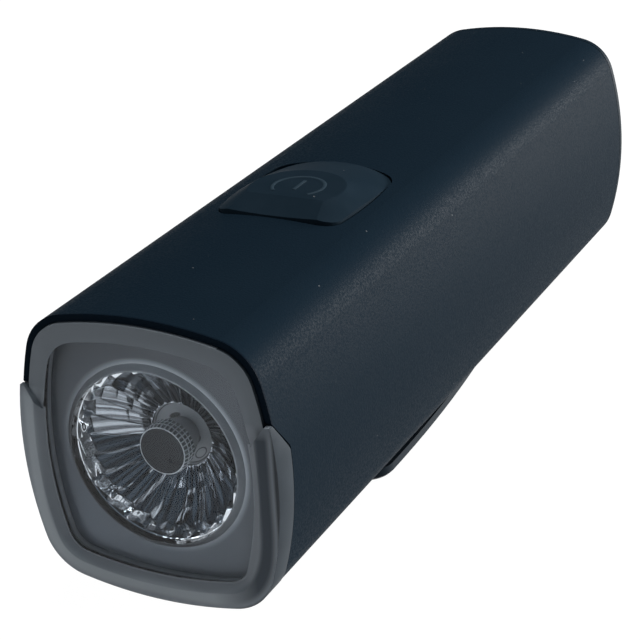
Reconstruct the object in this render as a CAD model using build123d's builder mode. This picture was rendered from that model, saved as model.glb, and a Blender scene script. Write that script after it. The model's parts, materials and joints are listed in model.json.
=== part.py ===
from build123d import *
import os
from math import cos, radians, sin, sqrt

# A compact bicycle headlight with one battery cell, in millimetres.
# The light shines towards -Y, +X is on the right of someone who faces its lens, +Z is up.
# The origin is under the middle of the light, on the flat it rests on.
# Places along the light count back from the tube's front edge.
# Heights across the light count from the tube's centre line.

# Body tube, a crowned rectangle
body_width = 32.0
body_height = 34.0
body_length = 115.2
side_crown = 2.7
top_crown = 1.85
corner_radius = 6.0
tube_wall = 1.4

# Clearances
slip_fit = 0.1
hinge_fit = 0.05
screw_fit = 0.05
running_gap = 0.3
joint_line = 0.15
overrun = 2.0

# Front lens and its wrap-round bumper
lens_lip = 0.8
window_proud = 0.35
window_thickness = 1.15
skirt_wall = 1.8
skirt_depth = 3.1
seal_thickness = 0.8
bumper_proud = 0.05
bumper_rise = 1.1
bumper_corner_rise = 0.65
bumper_ridge_inset = 2.05
bumper_band = 3.0
bumper_reach = 2.8
bumper_top = 7.1
bumper_fall = 3.85
bumper_shoulder_width = 1.2
bumper_shoulder_drop = 2.6

# Optic
mask_depth = 1.5
mask_plate = 1.0
mask_wall = 1.0
flute_count = 24
bowl_depth = 6.5
bowl_floor_share = 0.398
rim_width = 1.55

# Electronics and battery
board_plate = 1.2
pad_sheet = 0.3
heat_sink_length = 6.0
cell_side_room = 6.8
driver_roof_room = 9.8
cell_front_room = 8.9
cell_rear_room = 15.4
tray_wall = 1.2
driver_margin = 0.3
driver_thickness = 1.0
wire_diameter = 1.0

# Button
pad_width = 16.8
pad_length = 19.7
pad_place = 30.8
dome_rise = 1.2
press_travel = 0.5

# Rear cap and charging port
cap_flange = 1.2
cap_plate = 3.2
cap_skirt = 5.5
port_width = 9.4
port_height = 3.7

# Mounting shoe
shoe_drop = 3.2
shoe_width = 20.0
shoe_rear_width = 15.0
shoe_length = 46.0
shoe_place = 36.2

# Places worked out from the sizes above
half_width = body_width / 2
half_height = body_height / 2
tube_front = (bumper_rise - body_length) / 2
axis_height = shoe_drop + half_height
lens_inset = lens_lip + slip_fit
mask_inset = lens_inset + skirt_wall + slip_fit
bore_inset = tube_wall + slip_fit
seal_end = skirt_depth + seal_thickness


def across(place):
    """Cross plane, centred on the tube's centre line, whose normal points forwards."""
    return Plane(origin=(0, tube_front + place, axis_height), x_dir=(1, 0, 0), z_dir=(0, -1, 0))


def level(height):
    """Level plane, on which x is across the light and y counts back from the front edge."""
    return Plane(origin=(0, tube_front, axis_height + height), x_dir=(1, 0, 0), z_dir=(0, 0, 1))


def upright(height=0):
    """Lengthwise plane, on which x counts back from the front edge and y is above height."""
    return Plane(origin=(0, tube_front, axis_height + height), x_dir=(0, 1, 0), z_dir=(1, 0, 0))


def lengthwise(height=0):
    """Axis that runs along the light at a height above the tube's centre line."""
    return Axis(origin=(0, tube_front, axis_height + height), direction=(0, 1, 0))


def crowned(left_front, right_front, right_rear, left_rear, bulges, radius):
    """Four-sided outline whose sides bulge by the given amounts, with rounded corners."""
    corners = [left_front, right_front, right_rear, left_rear]
    pushes = [(0, -1), (1, 0), (0, 1), (-1, 0)]
    with BuildSketch(mode=Mode.PRIVATE) as shape:
        with BuildLine():
            for i, start in enumerate(corners):
                end = corners[(i + 1) % len(corners)]
                middle_x = (start[0] + end[0]) / 2 + pushes[i][0] * bulges[i]
                middle_y = (start[1] + end[1]) / 2 + pushes[i][1] * bulges[i]
                ThreePointArc(start, (middle_x, middle_y), end)
        make_face()
        fillet(shape.vertices(), radius)
    return shape.sketch


def drawn(shape, growth):
    """The same outline, drawn outwards by growth, or inwards where it is negative."""
    with BuildSketch(mode=Mode.PRIVATE) as grown:
        add(shape)
        if growth:
            offset(amount=growth, mode=Mode.REPLACE)
    return grown.sketch


corner_x = half_width - side_crown
corner_z = half_height - top_crown
tube_shape = crowned(
    (-corner_x, -corner_z),
    (corner_x, -corner_z),
    (corner_x, corner_z),
    (-corner_x, corner_z),
    (top_crown, side_crown, top_crown, side_crown),
    corner_radius,
)


def outline(inset=0):
    """The tube's outer outline, drawn inwards by inset."""
    return drawn(tube_shape, -inset)


# Button pad outline, a squared oval with a wider sweep at its rear
pad_front_bulge = 0.5
pad_side_bulge = 0.6
pad_rear_bulge = 1.6
pad_corner_radius = 2.6
pad_corner_x = pad_width / 2 - pad_side_bulge
pad_front_y = pad_place + pad_front_bulge
pad_rear_y = pad_place + pad_length - pad_rear_bulge
pad_shape = crowned(
    (-pad_corner_x, pad_front_y),
    (pad_corner_x, pad_front_y),
    (pad_corner_x, pad_rear_y),
    (-pad_corner_x, pad_rear_y),
    (pad_front_bulge, pad_side_bulge, pad_rear_bulge, pad_side_bulge),
    pad_corner_radius,
)

# Mounting shoe outline, tapered so that it wedges in its bracket
shoe_nose_bulge = 0.8
shoe_tail_bulge = 0.4
shoe_corner_radius = 4.0
shoe_front_y = shoe_place + shoe_nose_bulge
shoe_rear_y = shoe_place + shoe_length - shoe_tail_bulge
shoe_shape = crowned(
    (-shoe_width / 2, shoe_front_y),
    (shoe_width / 2, shoe_front_y),
    (shoe_rear_width / 2, shoe_rear_y),
    (-shoe_rear_width / 2, shoe_rear_y),
    (shoe_nose_bulge, shoe_nose_bulge, shoe_tail_bulge, shoe_nose_bulge),
    shoe_corner_radius,
)

# Stack along the light, counted back from the front edge
window_front = -window_proud
window_back = window_front + window_thickness
bowl_mouth = window_back + slip_fit
bowl_floor = bowl_mouth + bowl_depth
led_board_front = bowl_floor + running_gap * 2
led_board_back = led_board_front + board_plate
heat_sink_front = led_board_back + pad_sheet
heat_sink_back = heat_sink_front + heat_sink_length
cap_start = body_length - cap_plate
tube_length = body_length - cap_flange
skirt_start = tube_length - cap_skirt
tray_front = heat_sink_back + slip_fit
tray_back = cap_start - slip_fit

# Stack up through the tube, counted from its centre line
land_height = 0.5
nut_plate_thickness = 1.2
tray_clearance = 0.2
cell_clearance = 0.3
board_clearance = 1.0
floor_z = -(half_height - tube_wall - land_height)
driver_z = half_height - driver_roof_room
driver_top_z = driver_z + driver_thickness
tray_floor_z = floor_z + nut_plate_thickness + tray_clearance
cell_floor_z = tray_floor_z + tray_wall + cell_clearance
cell_diameter = min(body_width - 2 * cell_side_room, driver_z - board_clearance - cell_floor_z)
cell_z = cell_floor_z + cell_diameter / 2
tray_half = cell_diameter / 2 + cell_clearance + tray_wall

# The tray's feet stand on both sides of the land that carries the nut plate
foot_width = 1.2
foot_side_room = 2.5
foot_x = tray_half - foot_side_room
land_width = 2 * (foot_x - foot_width)

# Cap screws and the channels they bite into
cap_screw_radius = 1.0
cap_screw_head_radius = 1.9
cap_screw_bite = 5.0
channel_wall = 1.0
channel_radius = cap_screw_radius + channel_wall
channel_web = 1.6
screw_inset_x = 4.6
screw_inset_z = 6.9
cap_screw_x = half_width - screw_inset_x
cap_screw_z = half_height - screw_inset_z
channel_web_x = half_width - screw_inset_x / 2

# Shoe screws
shoe_screw_radius = 1.2
shoe_screw_head_radius = 2.2
shoe_screw_head = 1.3
shoe_screw_setback = 10.0
shoe_screw_spots = [
    (0, shoe_place + shoe_screw_setback),
    (0, shoe_place + shoe_length - shoe_screw_setback),
]

# Button stack
disc_setback = 7.2
disc_radius = 6.0
button_y = pad_place + disc_setback
pad_side_gap = 0.15
pad_flange = 0.6
pad_flange_thickness = 0.9
frame_wall = 0.8
frame_plate = 1.0


def bumper_side(gap=0):
    """Side view of the bumper's reach, whose sloping top edge has a soft front corner."""
    top_gap = gap * sqrt(2)
    with BuildSketch(mode=Mode.PRIVATE) as side:
        with BuildLine():
            Polyline(
                (-bumper_rise - overrun, bumper_top + top_gap),
                (0, bumper_top + top_gap),
                (bumper_reach + gap, bumper_top - bumper_fall + top_gap),
                (bumper_reach + gap, -half_height - overrun),
                (-bumper_rise - overrun, -half_height - overrun),
                close=True,
            )
        make_face()
        soft = side.vertices().group_by(Axis.X)[-1].sort_by(Axis.Y)[-1]
        fillet(soft, bumper_proud + lens_lip)
    return side.sketch


# Body tube: an extruded section with screw channels, machined at both ends
channel_front = heat_sink_back
shoe_hole_radius = shoe_screw_radius + screw_fit
tube_edge_break = 0.15
with BuildPart() as body_tube:
    with BuildSketch(across(0)):
        add(outline())
        add(outline(tube_wall), mode=Mode.SUBTRACT)
    extrude(amount=-tube_length)
    with BuildSketch(across(channel_front)):
        with GridLocations(2 * cap_screw_x, 2 * cap_screw_z, 2, 2):
            Circle(channel_radius)
        with GridLocations(2 * channel_web_x, 2 * cap_screw_z, 2, 2):
            Rectangle(screw_inset_x, channel_web)
        with Locations((0, floor_z)):
            Rectangle(land_width, land_height + tube_wall, align=(Align.CENTER, Align.MAX))
        add(outline(tube_wall / 2), mode=Mode.INTERSECT)
    extrude(amount=channel_front - skirt_start)
    with BuildSketch(across(channel_front - overrun)):
        with GridLocations(2 * cap_screw_x, 2 * cap_screw_z, 2, 2):
            Circle(cap_screw_radius + screw_fit)
    extrude(amount=channel_front - skirt_start - 2 * overrun, mode=Mode.SUBTRACT)
    with BuildSketch(across(-overrun)):
        add(outline(lens_lip))
    extrude(amount=-overrun - seal_end, mode=Mode.SUBTRACT)
    with BuildSketch(upright()):
        add(bumper_side(joint_line))
    extrude(amount=half_width + overrun, both=True, mode=Mode.SUBTRACT)
    with BuildSketch(level(0)):
        add(drawn(pad_shape, pad_side_gap))
    extrude(amount=half_height + overrun, mode=Mode.SUBTRACT)
    with BuildSketch(level(0)):
        with Locations(*shoe_screw_spots):
            Circle(shoe_hole_radius)
    extrude(amount=-half_height - overrun, mode=Mode.SUBTRACT)
    rear_edges = body_tube.faces().sort_by(Axis.Y)[-1].outer_wire().edges()
    chamfer(rear_edges, tube_edge_break)
body_tube.part.label = "body_tube"

# Front lens: a clear cup set into the tube, with a U-shaped bumper round its sides and bottom
with BuildPart() as front_lens:
    with BuildSketch(across(bumper_reach)):
        add(outline(-bumper_proud))
    extrude(amount=bumper_reach + bumper_corner_rise)
    with BuildSketch(across(-bumper_corner_rise)):
        add(outline(-bumper_proud))
    with BuildSketch(across(-bumper_rise)):
        add(outline(bumper_ridge_inset))
    loft(ruled=True)
    with BuildSketch(upright()):
        add(bumper_side())
    extrude(amount=half_width + overrun, both=True, mode=Mode.INTERSECT)
    with BuildSketch(across(bumper_reach + overrun)):
        with BuildLine():
            outer_x = half_width + overrun
            step_x = half_width - bumper_shoulder_width
            inner_x = half_width - bumper_band
            shoulder_z = bumper_top - bumper_shoulder_drop
            Polyline(
                (-outer_x, -half_height - overrun),
                (outer_x, -half_height - overrun),
                (outer_x, bumper_top),
                (step_x, bumper_top),
                (inner_x, shoulder_z),
                (-inner_x, shoulder_z),
                (-step_x, bumper_top),
                (-outer_x, bumper_top),
                close=True,
            )
        make_face()
    extrude(amount=bumper_reach + bumper_rise + 2 * overrun, mode=Mode.INTERSECT)
    with BuildSketch(across(window_front)):
        add(outline(bumper_band))
    with BuildSketch(across(-bumper_rise)):
        add(outline(bumper_ridge_inset))
    loft(ruled=True, mode=Mode.SUBTRACT)
    with BuildSketch(across(skirt_depth)):
        add(outline(lens_inset))
    extrude(amount=skirt_depth - window_front)
    with BuildSketch(across(window_back)):
        add(outline(lens_inset + skirt_wall))
    extrude(amount=window_back - skirt_depth - overrun, mode=Mode.SUBTRACT)
front_lens.part.label = "front_lens"

# Front seal, a flat rubber ring between the lens and the tube's ledge
with BuildPart() as front_seal:
    with BuildSketch(across(seal_end)):
        add(outline(lens_inset))
        add(outline(lens_inset + skirt_wall), mode=Mode.SUBTRACT)
    extrude(amount=seal_thickness)
front_seal.part.label = "front_seal"

# Dark mask behind the window, with a skirt that reaches the heat sink
mask_inner_inset = mask_inset + mask_wall
flange_radius = min(half_width, half_height) - mask_inner_inset - slip_fit
rim_radius = flange_radius - rim_width
rim_flare = 0.55
mask_hole_radius = rim_radius + rim_flare + hinge_fit
with BuildPart() as bezel_mask:
    with BuildSketch(across(mask_depth)):
        add(outline(mask_inset))
    extrude(amount=mask_depth + slip_fit - heat_sink_front)
    with BuildSketch(across(mask_depth + mask_plate)):
        add(outline(mask_inner_inset))
    extrude(amount=mask_depth + mask_plate - heat_sink_front, mode=Mode.SUBTRACT)
    with BuildSketch(across(mask_depth - overrun)):
        Circle(mask_hole_radius)
    extrude(amount=-mask_plate - 2 * overrun, mode=Mode.SUBTRACT)
bezel_mask.part.label = "bezel_mask"

# Reflector: a metallised bowl with a row of facets under its rim and swirled saw-toothed flutes below
bowl_wall = 0.9
bowl_floor_radius = rim_radius * bowl_floor_share
rim_land = 0.2
rim_wall_depth = 1.1
flange_thickness = 0.8
flange_seat = mask_depth + mask_plate + slip_fit
throat_length = running_gap
flute_mouth_radius = rim_radius - rim_land
facet_depth = 1.5
facet_taper = 0.55
facet_foot = rim_wall_depth + facet_depth
facet_foot_radius = flute_mouth_radius - facet_taper
wall_bend_share = 0.4
flute_depth_shares = (0, 0.35, 0.68, 1)
flute_step_share = 0.065
flute_ramp_share = 0.82
flute_swirl = 10


def bowl_place(share):
    """Depth of the parabolic bowl's wall at a share of its fluted part."""
    return bowl_mouth + facet_foot + share * (bowl_depth - facet_foot)


def bowl_radius(share):
    """Radius of the parabolic bowl at a share of its fluted part."""
    return sqrt(facet_foot_radius**2 * (1 - share) + bowl_floor_radius**2 * share)


def flute_ring(radius, turn):
    """One ring of the saw-toothed section, two points for each flute."""
    pitch = radians(360 / flute_count)
    points = []
    for i in range(flute_count):
        crest = i * pitch + turn
        foot = crest + pitch * flute_ramp_share
        low = radius * (1 - flute_step_share)
        points.append((radius * cos(crest), radius * sin(crest)))
        points.append((low * cos(foot), low * sin(foot)))
    return points


reflector_back = bowl_floor + throat_length
with BuildPart() as reflector:
    with BuildSketch(upright()):
        with BuildLine():
            Polyline(
                (bowl_mouth, 0),
                (bowl_mouth, rim_radius),
                (mask_depth, rim_radius + rim_flare),
                (flange_seat, rim_radius + rim_flare),
                (flange_seat, flange_radius),
                (flange_seat + flange_thickness, flange_radius),
                (flange_seat + flange_thickness, rim_radius + rim_flare),
                (bowl_place(wall_bend_share), bowl_radius(wall_bend_share) + bowl_wall),
                (reflector_back, bowl_floor_radius + bowl_wall),
                (reflector_back, 0),
                close=True,
            )
        make_face()
    revolve(axis=lengthwise())
    with BuildSketch(across(bowl_mouth - overrun)):
        Circle(flute_mouth_radius)
    extrude(amount=-rim_wall_depth - overrun, mode=Mode.SUBTRACT)
    with BuildSketch(across(bowl_mouth + rim_wall_depth)):
        with BuildLine():
            Polyline(*flute_ring(flute_mouth_radius, 0), close=True)
        make_face()
    for share in flute_depth_shares:
        with BuildSketch(across(bowl_place(share))):
            with BuildLine():
                Polyline(*flute_ring(bowl_radius(share), radians(flute_swirl) * share), close=True)
            make_face()
    loft(ruled=True, mode=Mode.SUBTRACT)
    with BuildSketch(across(bowl_floor - overrun)):
        Circle(bowl_floor_radius * (1 - flute_step_share))
    extrude(amount=-throat_length - 2 * overrun, mode=Mode.SUBTRACT)
reflector.part.label = "reflector"

# Centre lens, a short fluted column that stands over the emitter
column_radius = 3.07
column_face_radius = 2.76
column_face_depth = 2.1
column_band = 1.0
column_waist_radius = 2.5
column_foot_radius = 2.9
column_foot = 0.8
column_flutes = 30
column_flute_step = 0.12
emitter_size = 3.0
emitter_base = 0.6
emitter_dome_radius = 1.3
emitter_dome = 0.5
pocket_radius = emitter_size / sqrt(2) + slip_fit
pocket_depth = emitter_base + emitter_dome + running_gap
column_front = bowl_mouth + column_face_depth


def column_ring(radius):
    """Fluted outline of the column's front band."""
    step = radians(180 / column_flutes)
    points = []
    for i in range(2 * column_flutes):
        reach = radius - column_flute_step * (i % 2)
        points.append((reach * cos(i * step), reach * sin(i * step)))
    return points


with BuildPart() as centre_lens:
    for place, radius in (
        (column_front, column_face_radius),
        (column_front + column_band, column_radius),
    ):
        with BuildSketch(across(place)):
            with BuildLine():
                Polyline(*column_ring(radius), close=True)
            make_face()
    loft(ruled=True)
    with BuildSketch(upright()):
        with BuildLine():
            Polyline(
                (column_front + column_band, 0),
                (column_front + column_band, column_radius - column_flute_step),
                (led_board_front - column_foot, column_waist_radius),
                (led_board_front - column_foot, column_foot_radius),
                (led_board_front, column_foot_radius),
                (led_board_front, 0),
                close=True,
            )
        make_face()
    revolve(axis=lengthwise())
    with BuildSketch(across(led_board_front - pocket_depth)):
        Circle(pocket_radius)
    extrude(amount=-pocket_depth - overrun, mode=Mode.SUBTRACT)
centre_lens.part.label = "centre_lens"

# Emitter: a square package with a low dome
with BuildPart() as led_emitter:
    with BuildSketch(across(led_board_front)):
        Rectangle(emitter_size, emitter_size)
    extrude(amount=emitter_base)
    with BuildSketch(across(led_board_front - emitter_base)):
        Circle(emitter_dome_radius)
    with BuildSketch(across(led_board_front - emitter_base - emitter_dome)):
        Circle(emitter_dome_radius - emitter_dome)
    loft()
led_emitter.part.label = "led_emitter"

# Emitter board, a metal-cored disc with a flat for the wires
led_screw_radius = 0.8
led_screw_head_radius = 1.6
led_screw_head = 1.0
led_screw_bite = 3.0
led_board_margin = 1.1
led_board_radius = flange_radius - led_board_margin
led_screw_setback = 1.9
led_screw_x = led_board_radius - led_screw_setback
wire_flat_depth = 3.3
wire_flat_z = led_board_radius - wire_flat_depth
with BuildPart() as led_board:
    with BuildSketch(across(led_board_front)):
        Circle(led_board_radius)
        with Locations((0, wire_flat_z)):
            Rectangle(
                2 * led_board_radius,
                led_board_radius,
                align=(Align.CENTER, Align.MIN),
                mode=Mode.SUBTRACT,
            )
        with Locations((-led_screw_x, 0), (led_screw_x, 0)):
            Circle(led_screw_radius + screw_fit, mode=Mode.SUBTRACT)
    extrude(amount=-board_plate)
led_board.part.label = "led_board"

# Thermal pad between the emitter board and the heat sink
with BuildPart() as thermal_pad:
    with BuildSketch(across(led_board_back)):
        Circle(led_board_radius - led_screw_setback - led_screw_head_radius)
    extrude(amount=-pad_sheet)
thermal_pad.part.label = "thermal_pad"

# Emitter board screws
with BuildPart() as led_board_screws:
    with BuildSketch(across(led_board_front)):
        with Locations((-led_screw_x, 0), (led_screw_x, 0)):
            Circle(led_screw_head_radius)
    extrude(amount=led_screw_head)
    with BuildSketch(across(led_board_front)):
        with Locations((-led_screw_x, 0), (led_screw_x, 0)):
            Circle(led_screw_radius)
    extrude(amount=-board_plate - pad_sheet - led_screw_bite)
    with BuildSketch(across(led_board_front - led_screw_head)):
        with Locations((-led_screw_x, 0), (led_screw_x, 0)):
            RegularPolygon(led_screw_radius, 6)
    extrude(amount=-led_screw_head / 2, mode=Mode.SUBTRACT)
led_board_screws.part.label = "led_board_screws"

# Heat sink: a plug that fills the tube, hollowed from behind, with a window for the wires
wire_bend = 3.0 * wire_diameter
wire_drop = 3.0
wire_run_z = driver_top_z + wire_drop
wire_spread = 3.0
wire_window_width = wire_spread * 2 + wire_diameter * 3
wire_window_height = wire_diameter * 2.4
sink_floor = 4.0
sink_rim = 2.5
with BuildPart() as heat_sink:
    with BuildSketch(across(heat_sink_front)):
        add(outline(bore_inset))
        with Locations((0, wire_run_z)):
            Rectangle(wire_window_width, wire_window_height, mode=Mode.SUBTRACT)
    extrude(amount=-heat_sink_length)
    with BuildSketch(across(heat_sink_front + sink_floor)):
        add(outline(bore_inset + sink_rim))
    extrude(amount=sink_floor - heat_sink_length, mode=Mode.SUBTRACT)
    with BuildSketch(across(heat_sink_front)):
        with Locations((-led_screw_x, 0), (led_screw_x, 0)):
            Circle(led_screw_radius + screw_fit)
    extrude(amount=-sink_floor, mode=Mode.SUBTRACT)
heat_sink.part.label = "heat_sink"

# Room for the screw channels, cut from the pieces that pass close by them
with BuildPart() as channel_room:
    with BuildSketch(across(channel_front)):
        with GridLocations(2 * cap_screw_x, 2 * cap_screw_z, 2, 2):
            Circle(channel_radius + slip_fit)
    extrude(amount=channel_front - skirt_start)

# Battery tray: a trough under the cell with side rims for the driver board
bay_front = tray_front + cell_front_room
bay_back = tray_back - cell_rear_room
bay_wall = 1.5
foam_thickness = 1.6
tab_thickness = 0.3
tab_width = 5.0
tab_slot_gap = 0.15
cell_front = bay_front + bay_wall + foam_thickness + tab_thickness
cell_back = bay_back - bay_wall - foam_thickness - tab_thickness
post_radius = 2.0
post_side_room = 4.7
post_x = tray_half - post_side_room
post_setback = 5.0
board_screw_radius = 0.8
board_screw_head_radius = 1.6
board_screw_head = 1.0
board_screw_bite = 5.0
post_spots = [(-post_x, bay_back + post_setback), (post_x, bay_back + post_setback)]
with BuildPart() as tray_posts:
    with BuildSketch(level(driver_z)):
        with Locations(*post_spots):
            Circle(post_radius)
    extrude(amount=-body_height)
    with BuildSketch(across(tray_front)):
        with Locations((0, cell_z)):
            Circle(tray_half)
            Rectangle(2 * tray_half, driver_z - cell_z, align=(Align.CENTER, Align.MIN))
    extrude(amount=tray_front - tray_back, mode=Mode.INTERSECT)

with BuildPart() as battery_tray:
    with BuildSketch(across(tray_front)):
        with Locations((-foot_x, cell_z), (foot_x, cell_z)):
            Rectangle(foot_width, half_height, align=(Align.CENTER, Align.MAX))
    extrude(amount=tray_front - skirt_start + overrun)
    with BuildSketch(across(tray_front)):
        add(outline(bore_inset))
    extrude(amount=tray_front - skirt_start, mode=Mode.INTERSECT)
    with BuildSketch(across(tray_front)):
        with Locations((0, cell_z)):
            Circle(tray_half)
            Rectangle(2 * tray_half, driver_z - cell_z, align=(Align.CENTER, Align.MIN))
    extrude(amount=tray_front - tray_back)
    with BuildSketch(across(tray_front - overrun)):
        with Locations((0, cell_z)):
            Circle(tray_half - tray_wall)
            Rectangle(
                2 * (tray_half - tray_wall),
                driver_z - cell_z + overrun,
                align=(Align.CENTER, Align.MIN),
            )
    extrude(amount=tray_front - tray_back - 2 * overrun, mode=Mode.SUBTRACT)
    for wall_place in (bay_front, bay_back - bay_wall):
        with BuildSketch(across(wall_place)):
            with Locations((0, cell_z)):
                Circle(tray_half - tray_wall / 2)
        extrude(amount=-bay_wall)
    add(tray_posts.part)
    with BuildSketch(level(driver_z)):
        with Locations(*post_spots):
            Circle(board_screw_radius + screw_fit)
    extrude(amount=-board_screw_bite - overrun, mode=Mode.SUBTRACT)
    add(channel_room.part, mode=Mode.SUBTRACT)
battery_tray.part.label = "battery_tray"

# Battery cell: a rolled can with its crimp groove near the rear, live end
crimp_setback = 3.5
crimp_width = 1.2
crimp_depth = 0.5
can_edge = 0.6
with BuildPart() as battery_cell:
    with BuildSketch(upright(cell_z)):
        can_radius = cell_diameter / 2
        crimp_place = cell_back - crimp_setback
        with BuildLine():
            Polyline(
                (cell_front, 0),
                (cell_front, can_radius - can_edge),
                (cell_front + can_edge, can_radius),
                (crimp_place - crimp_width, can_radius),
                (crimp_place - crimp_width / 2, can_radius - crimp_depth),
                (crimp_place, can_radius),
                (cell_back - can_edge, can_radius),
                (cell_back, can_radius - can_edge),
                (cell_back, 0),
                close=True,
            )
        make_face()
    revolve(axis=lengthwise(cell_z))
battery_cell.part.label = "battery_cell"

# Nickel tabs, spot-welded to the cell's ends and passed up through the driver board
tab_stickout = 0.6


def nickel_tab(place):
    """Flat strip from the middle of a cell end up through the driver board."""
    with BuildPart(mode=Mode.PRIVATE) as tab:
        with BuildSketch(across(place)) as strip:
            with Locations((0, cell_z - tab_width / 2)):
                Rectangle(
                    tab_width,
                    driver_top_z + tab_stickout - cell_z + tab_width / 2,
                    align=(Align.CENTER, Align.MIN),
                )
            fillet(strip.vertices().group_by(Axis.Y)[0], tab_width / 4)
        extrude(amount=-tab_thickness)
    return tab.part


with BuildPart() as negative_tab:
    add(nickel_tab(cell_front - tab_thickness))
negative_tab.part.label = "negative_tab"

with BuildPart() as positive_tab:
    add(nickel_tab(cell_back))
positive_tab.part.label = "positive_tab"

# Foam pads that press the tabs onto the cell's ends
foam_radius = 6.0
with BuildPart() as foam_pads:
    for place in (bay_front + bay_wall, cell_back + tab_thickness):
        with BuildSketch(across(place)):
            with Locations((0, cell_z)):
                Circle(foam_radius)
        extrude(amount=-foam_thickness)
foam_pads.part.label = "foam_pads"

# Driver board, which lies on the tray's rims and carries the switch and the port
driver_front = tray_front + slip_fit
driver_back = tray_back - slip_fit
driver_length = driver_back - driver_front
driver_width = 2 * (tray_half - driver_margin)
driver_corner = 1.5
tab_slots = [(0, cell_front - tab_thickness / 2), (0, cell_back + tab_thickness / 2)]
with BuildPart() as driver_board:
    with BuildSketch(level(driver_z)) as board_plan:
        with Locations((0, driver_front + driver_length / 2)):
            Rectangle(driver_width, driver_length)
        fillet(board_plan.vertices(), driver_corner)
        with Locations(*tab_slots):
            Rectangle(
                tab_width + 2 * tab_slot_gap,
                tab_thickness + 2 * tab_slot_gap,
                mode=Mode.SUBTRACT,
            )
        with Locations(*post_spots):
            Circle(board_screw_radius + screw_fit, mode=Mode.SUBTRACT)
    extrude(amount=driver_thickness)
driver_board.part.label = "driver_board"

# Driver board screws
with BuildPart() as board_screws:
    with BuildSketch(level(driver_top_z)):
        with Locations(*post_spots):
            Circle(board_screw_head_radius)
    extrude(amount=board_screw_head)
    with BuildSketch(level(driver_top_z)):
        with Locations(*post_spots):
            Circle(board_screw_radius)
    extrude(amount=-driver_thickness - board_screw_bite)
    with BuildSketch(level(driver_top_z + board_screw_head)):
        with Locations(*post_spots):
            RegularPolygon(board_screw_radius, 6)
    extrude(amount=-board_screw_head / 2, mode=Mode.SUBTRACT)
board_screws.part.label = "board_screws"

# Components on the driver board, with their places as shares of its length and half width
component_sizes = {
    "coil": (7.0, 7.0, 4.0),
    "controller": (4.4, 5.0, 1.2),
    "capacitor": (1.8, 3.2, 1.8),
    "transistor": (5.0, 6.0, 1.1),
    "resistor": (1.6, 3.2, 0.6),
}
component_place_shares = (
    ("coil", 0, 0.46),
    ("controller", 0, 0.56),
    ("capacitor", -0.58, 0.46),
    ("capacitor", 0.58, 0.46),
    ("capacitor", -0.55, 0.56),
    ("transistor", 0, 0.66),
    ("resistor", 0.55, 0.56),
    ("resistor", 0.55, 0.66),
    ("resistor", -0.55, 0.66),
)
component_edge = 0.2
with BuildPart() as board_components:
    for kind, share_x, share_y in component_place_shares:
        width, length, height = component_sizes[kind]
        with BuildSketch(level(driver_top_z)):
            with Locations((share_x * driver_width / 2, driver_front + share_y * driver_length)):
                RectangleRounded(width, length, component_edge)
        extrude(amount=height)
board_components.part.label = "board_components"

# Tact switch under the button, with a well for its stem
switch_size = 6.0
switch_height = 3.1
switch_corner = 0.5
stem_radius = 1.6
stem_stickout = 0.9
stem_grip = 0.6
switch_top_z = driver_top_z + switch_height
stem_top_z = switch_top_z + stem_stickout
stem_foot_z = switch_top_z - stem_grip
stem_well = stem_grip + press_travel + slip_fit
with BuildPart() as tact_switch:
    with BuildSketch(level(driver_top_z)):
        with Locations((0, button_y)):
            RectangleRounded(switch_size, switch_size, switch_corner)
    extrude(amount=switch_height)
    with BuildSketch(level(switch_top_z)):
        with Locations((0, button_y)):
            Circle(stem_radius + hinge_fit)
    extrude(amount=-stem_well, mode=Mode.SUBTRACT)
tact_switch.part.label = "tact_switch"

# Switch stem, which travels with the button
with BuildPart() as switch_stem:
    with BuildSketch(level(stem_foot_z)):
        with Locations((0, button_y)):
            Circle(stem_radius)
    extrude(amount=stem_top_z - stem_foot_z)
    chamfer(switch_stem.edges().sort_by(Axis.Z)[-1], component_edge)
switch_stem.part.label = "switch_stem"

# Button pad: rubber dome with a round pressing flat, a sloping front and a hidden flange
flange_corner_x = pad_width / 2 + pad_flange
side_drop = top_crown * (flange_corner_x / corner_x) ** 2
bore_top_z = half_height - bore_inset
flange_foot_z = bore_top_z - side_drop - pad_flange_thickness
plate_top_z = flange_foot_z - press_travel - slip_fit
plate_foot_z = plate_top_z - frame_plate
dome_top_z = half_height + dome_rise
dome_base_drop = 2.2
dome_side_run = 3.4
dome_long_run = 13.0
ramp_run = 4.0
ramp_step = 0.2
head_radius = 3.0
head_height = 1.4
head_foot_z = flange_foot_z + pad_flange_thickness
dome_edge_radius = 0.4
dome_base_z = dome_top_z - dome_base_drop

with BuildPart() as pad_flange_ring:
    with BuildSketch(level(flange_foot_z)):
        add(drawn(pad_shape, pad_flange))
    extrude(amount=half_height)
    with BuildSketch(across(0)):
        add(outline(bore_inset))
    extrude(amount=-tube_length, mode=Mode.INTERSECT)

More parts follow.
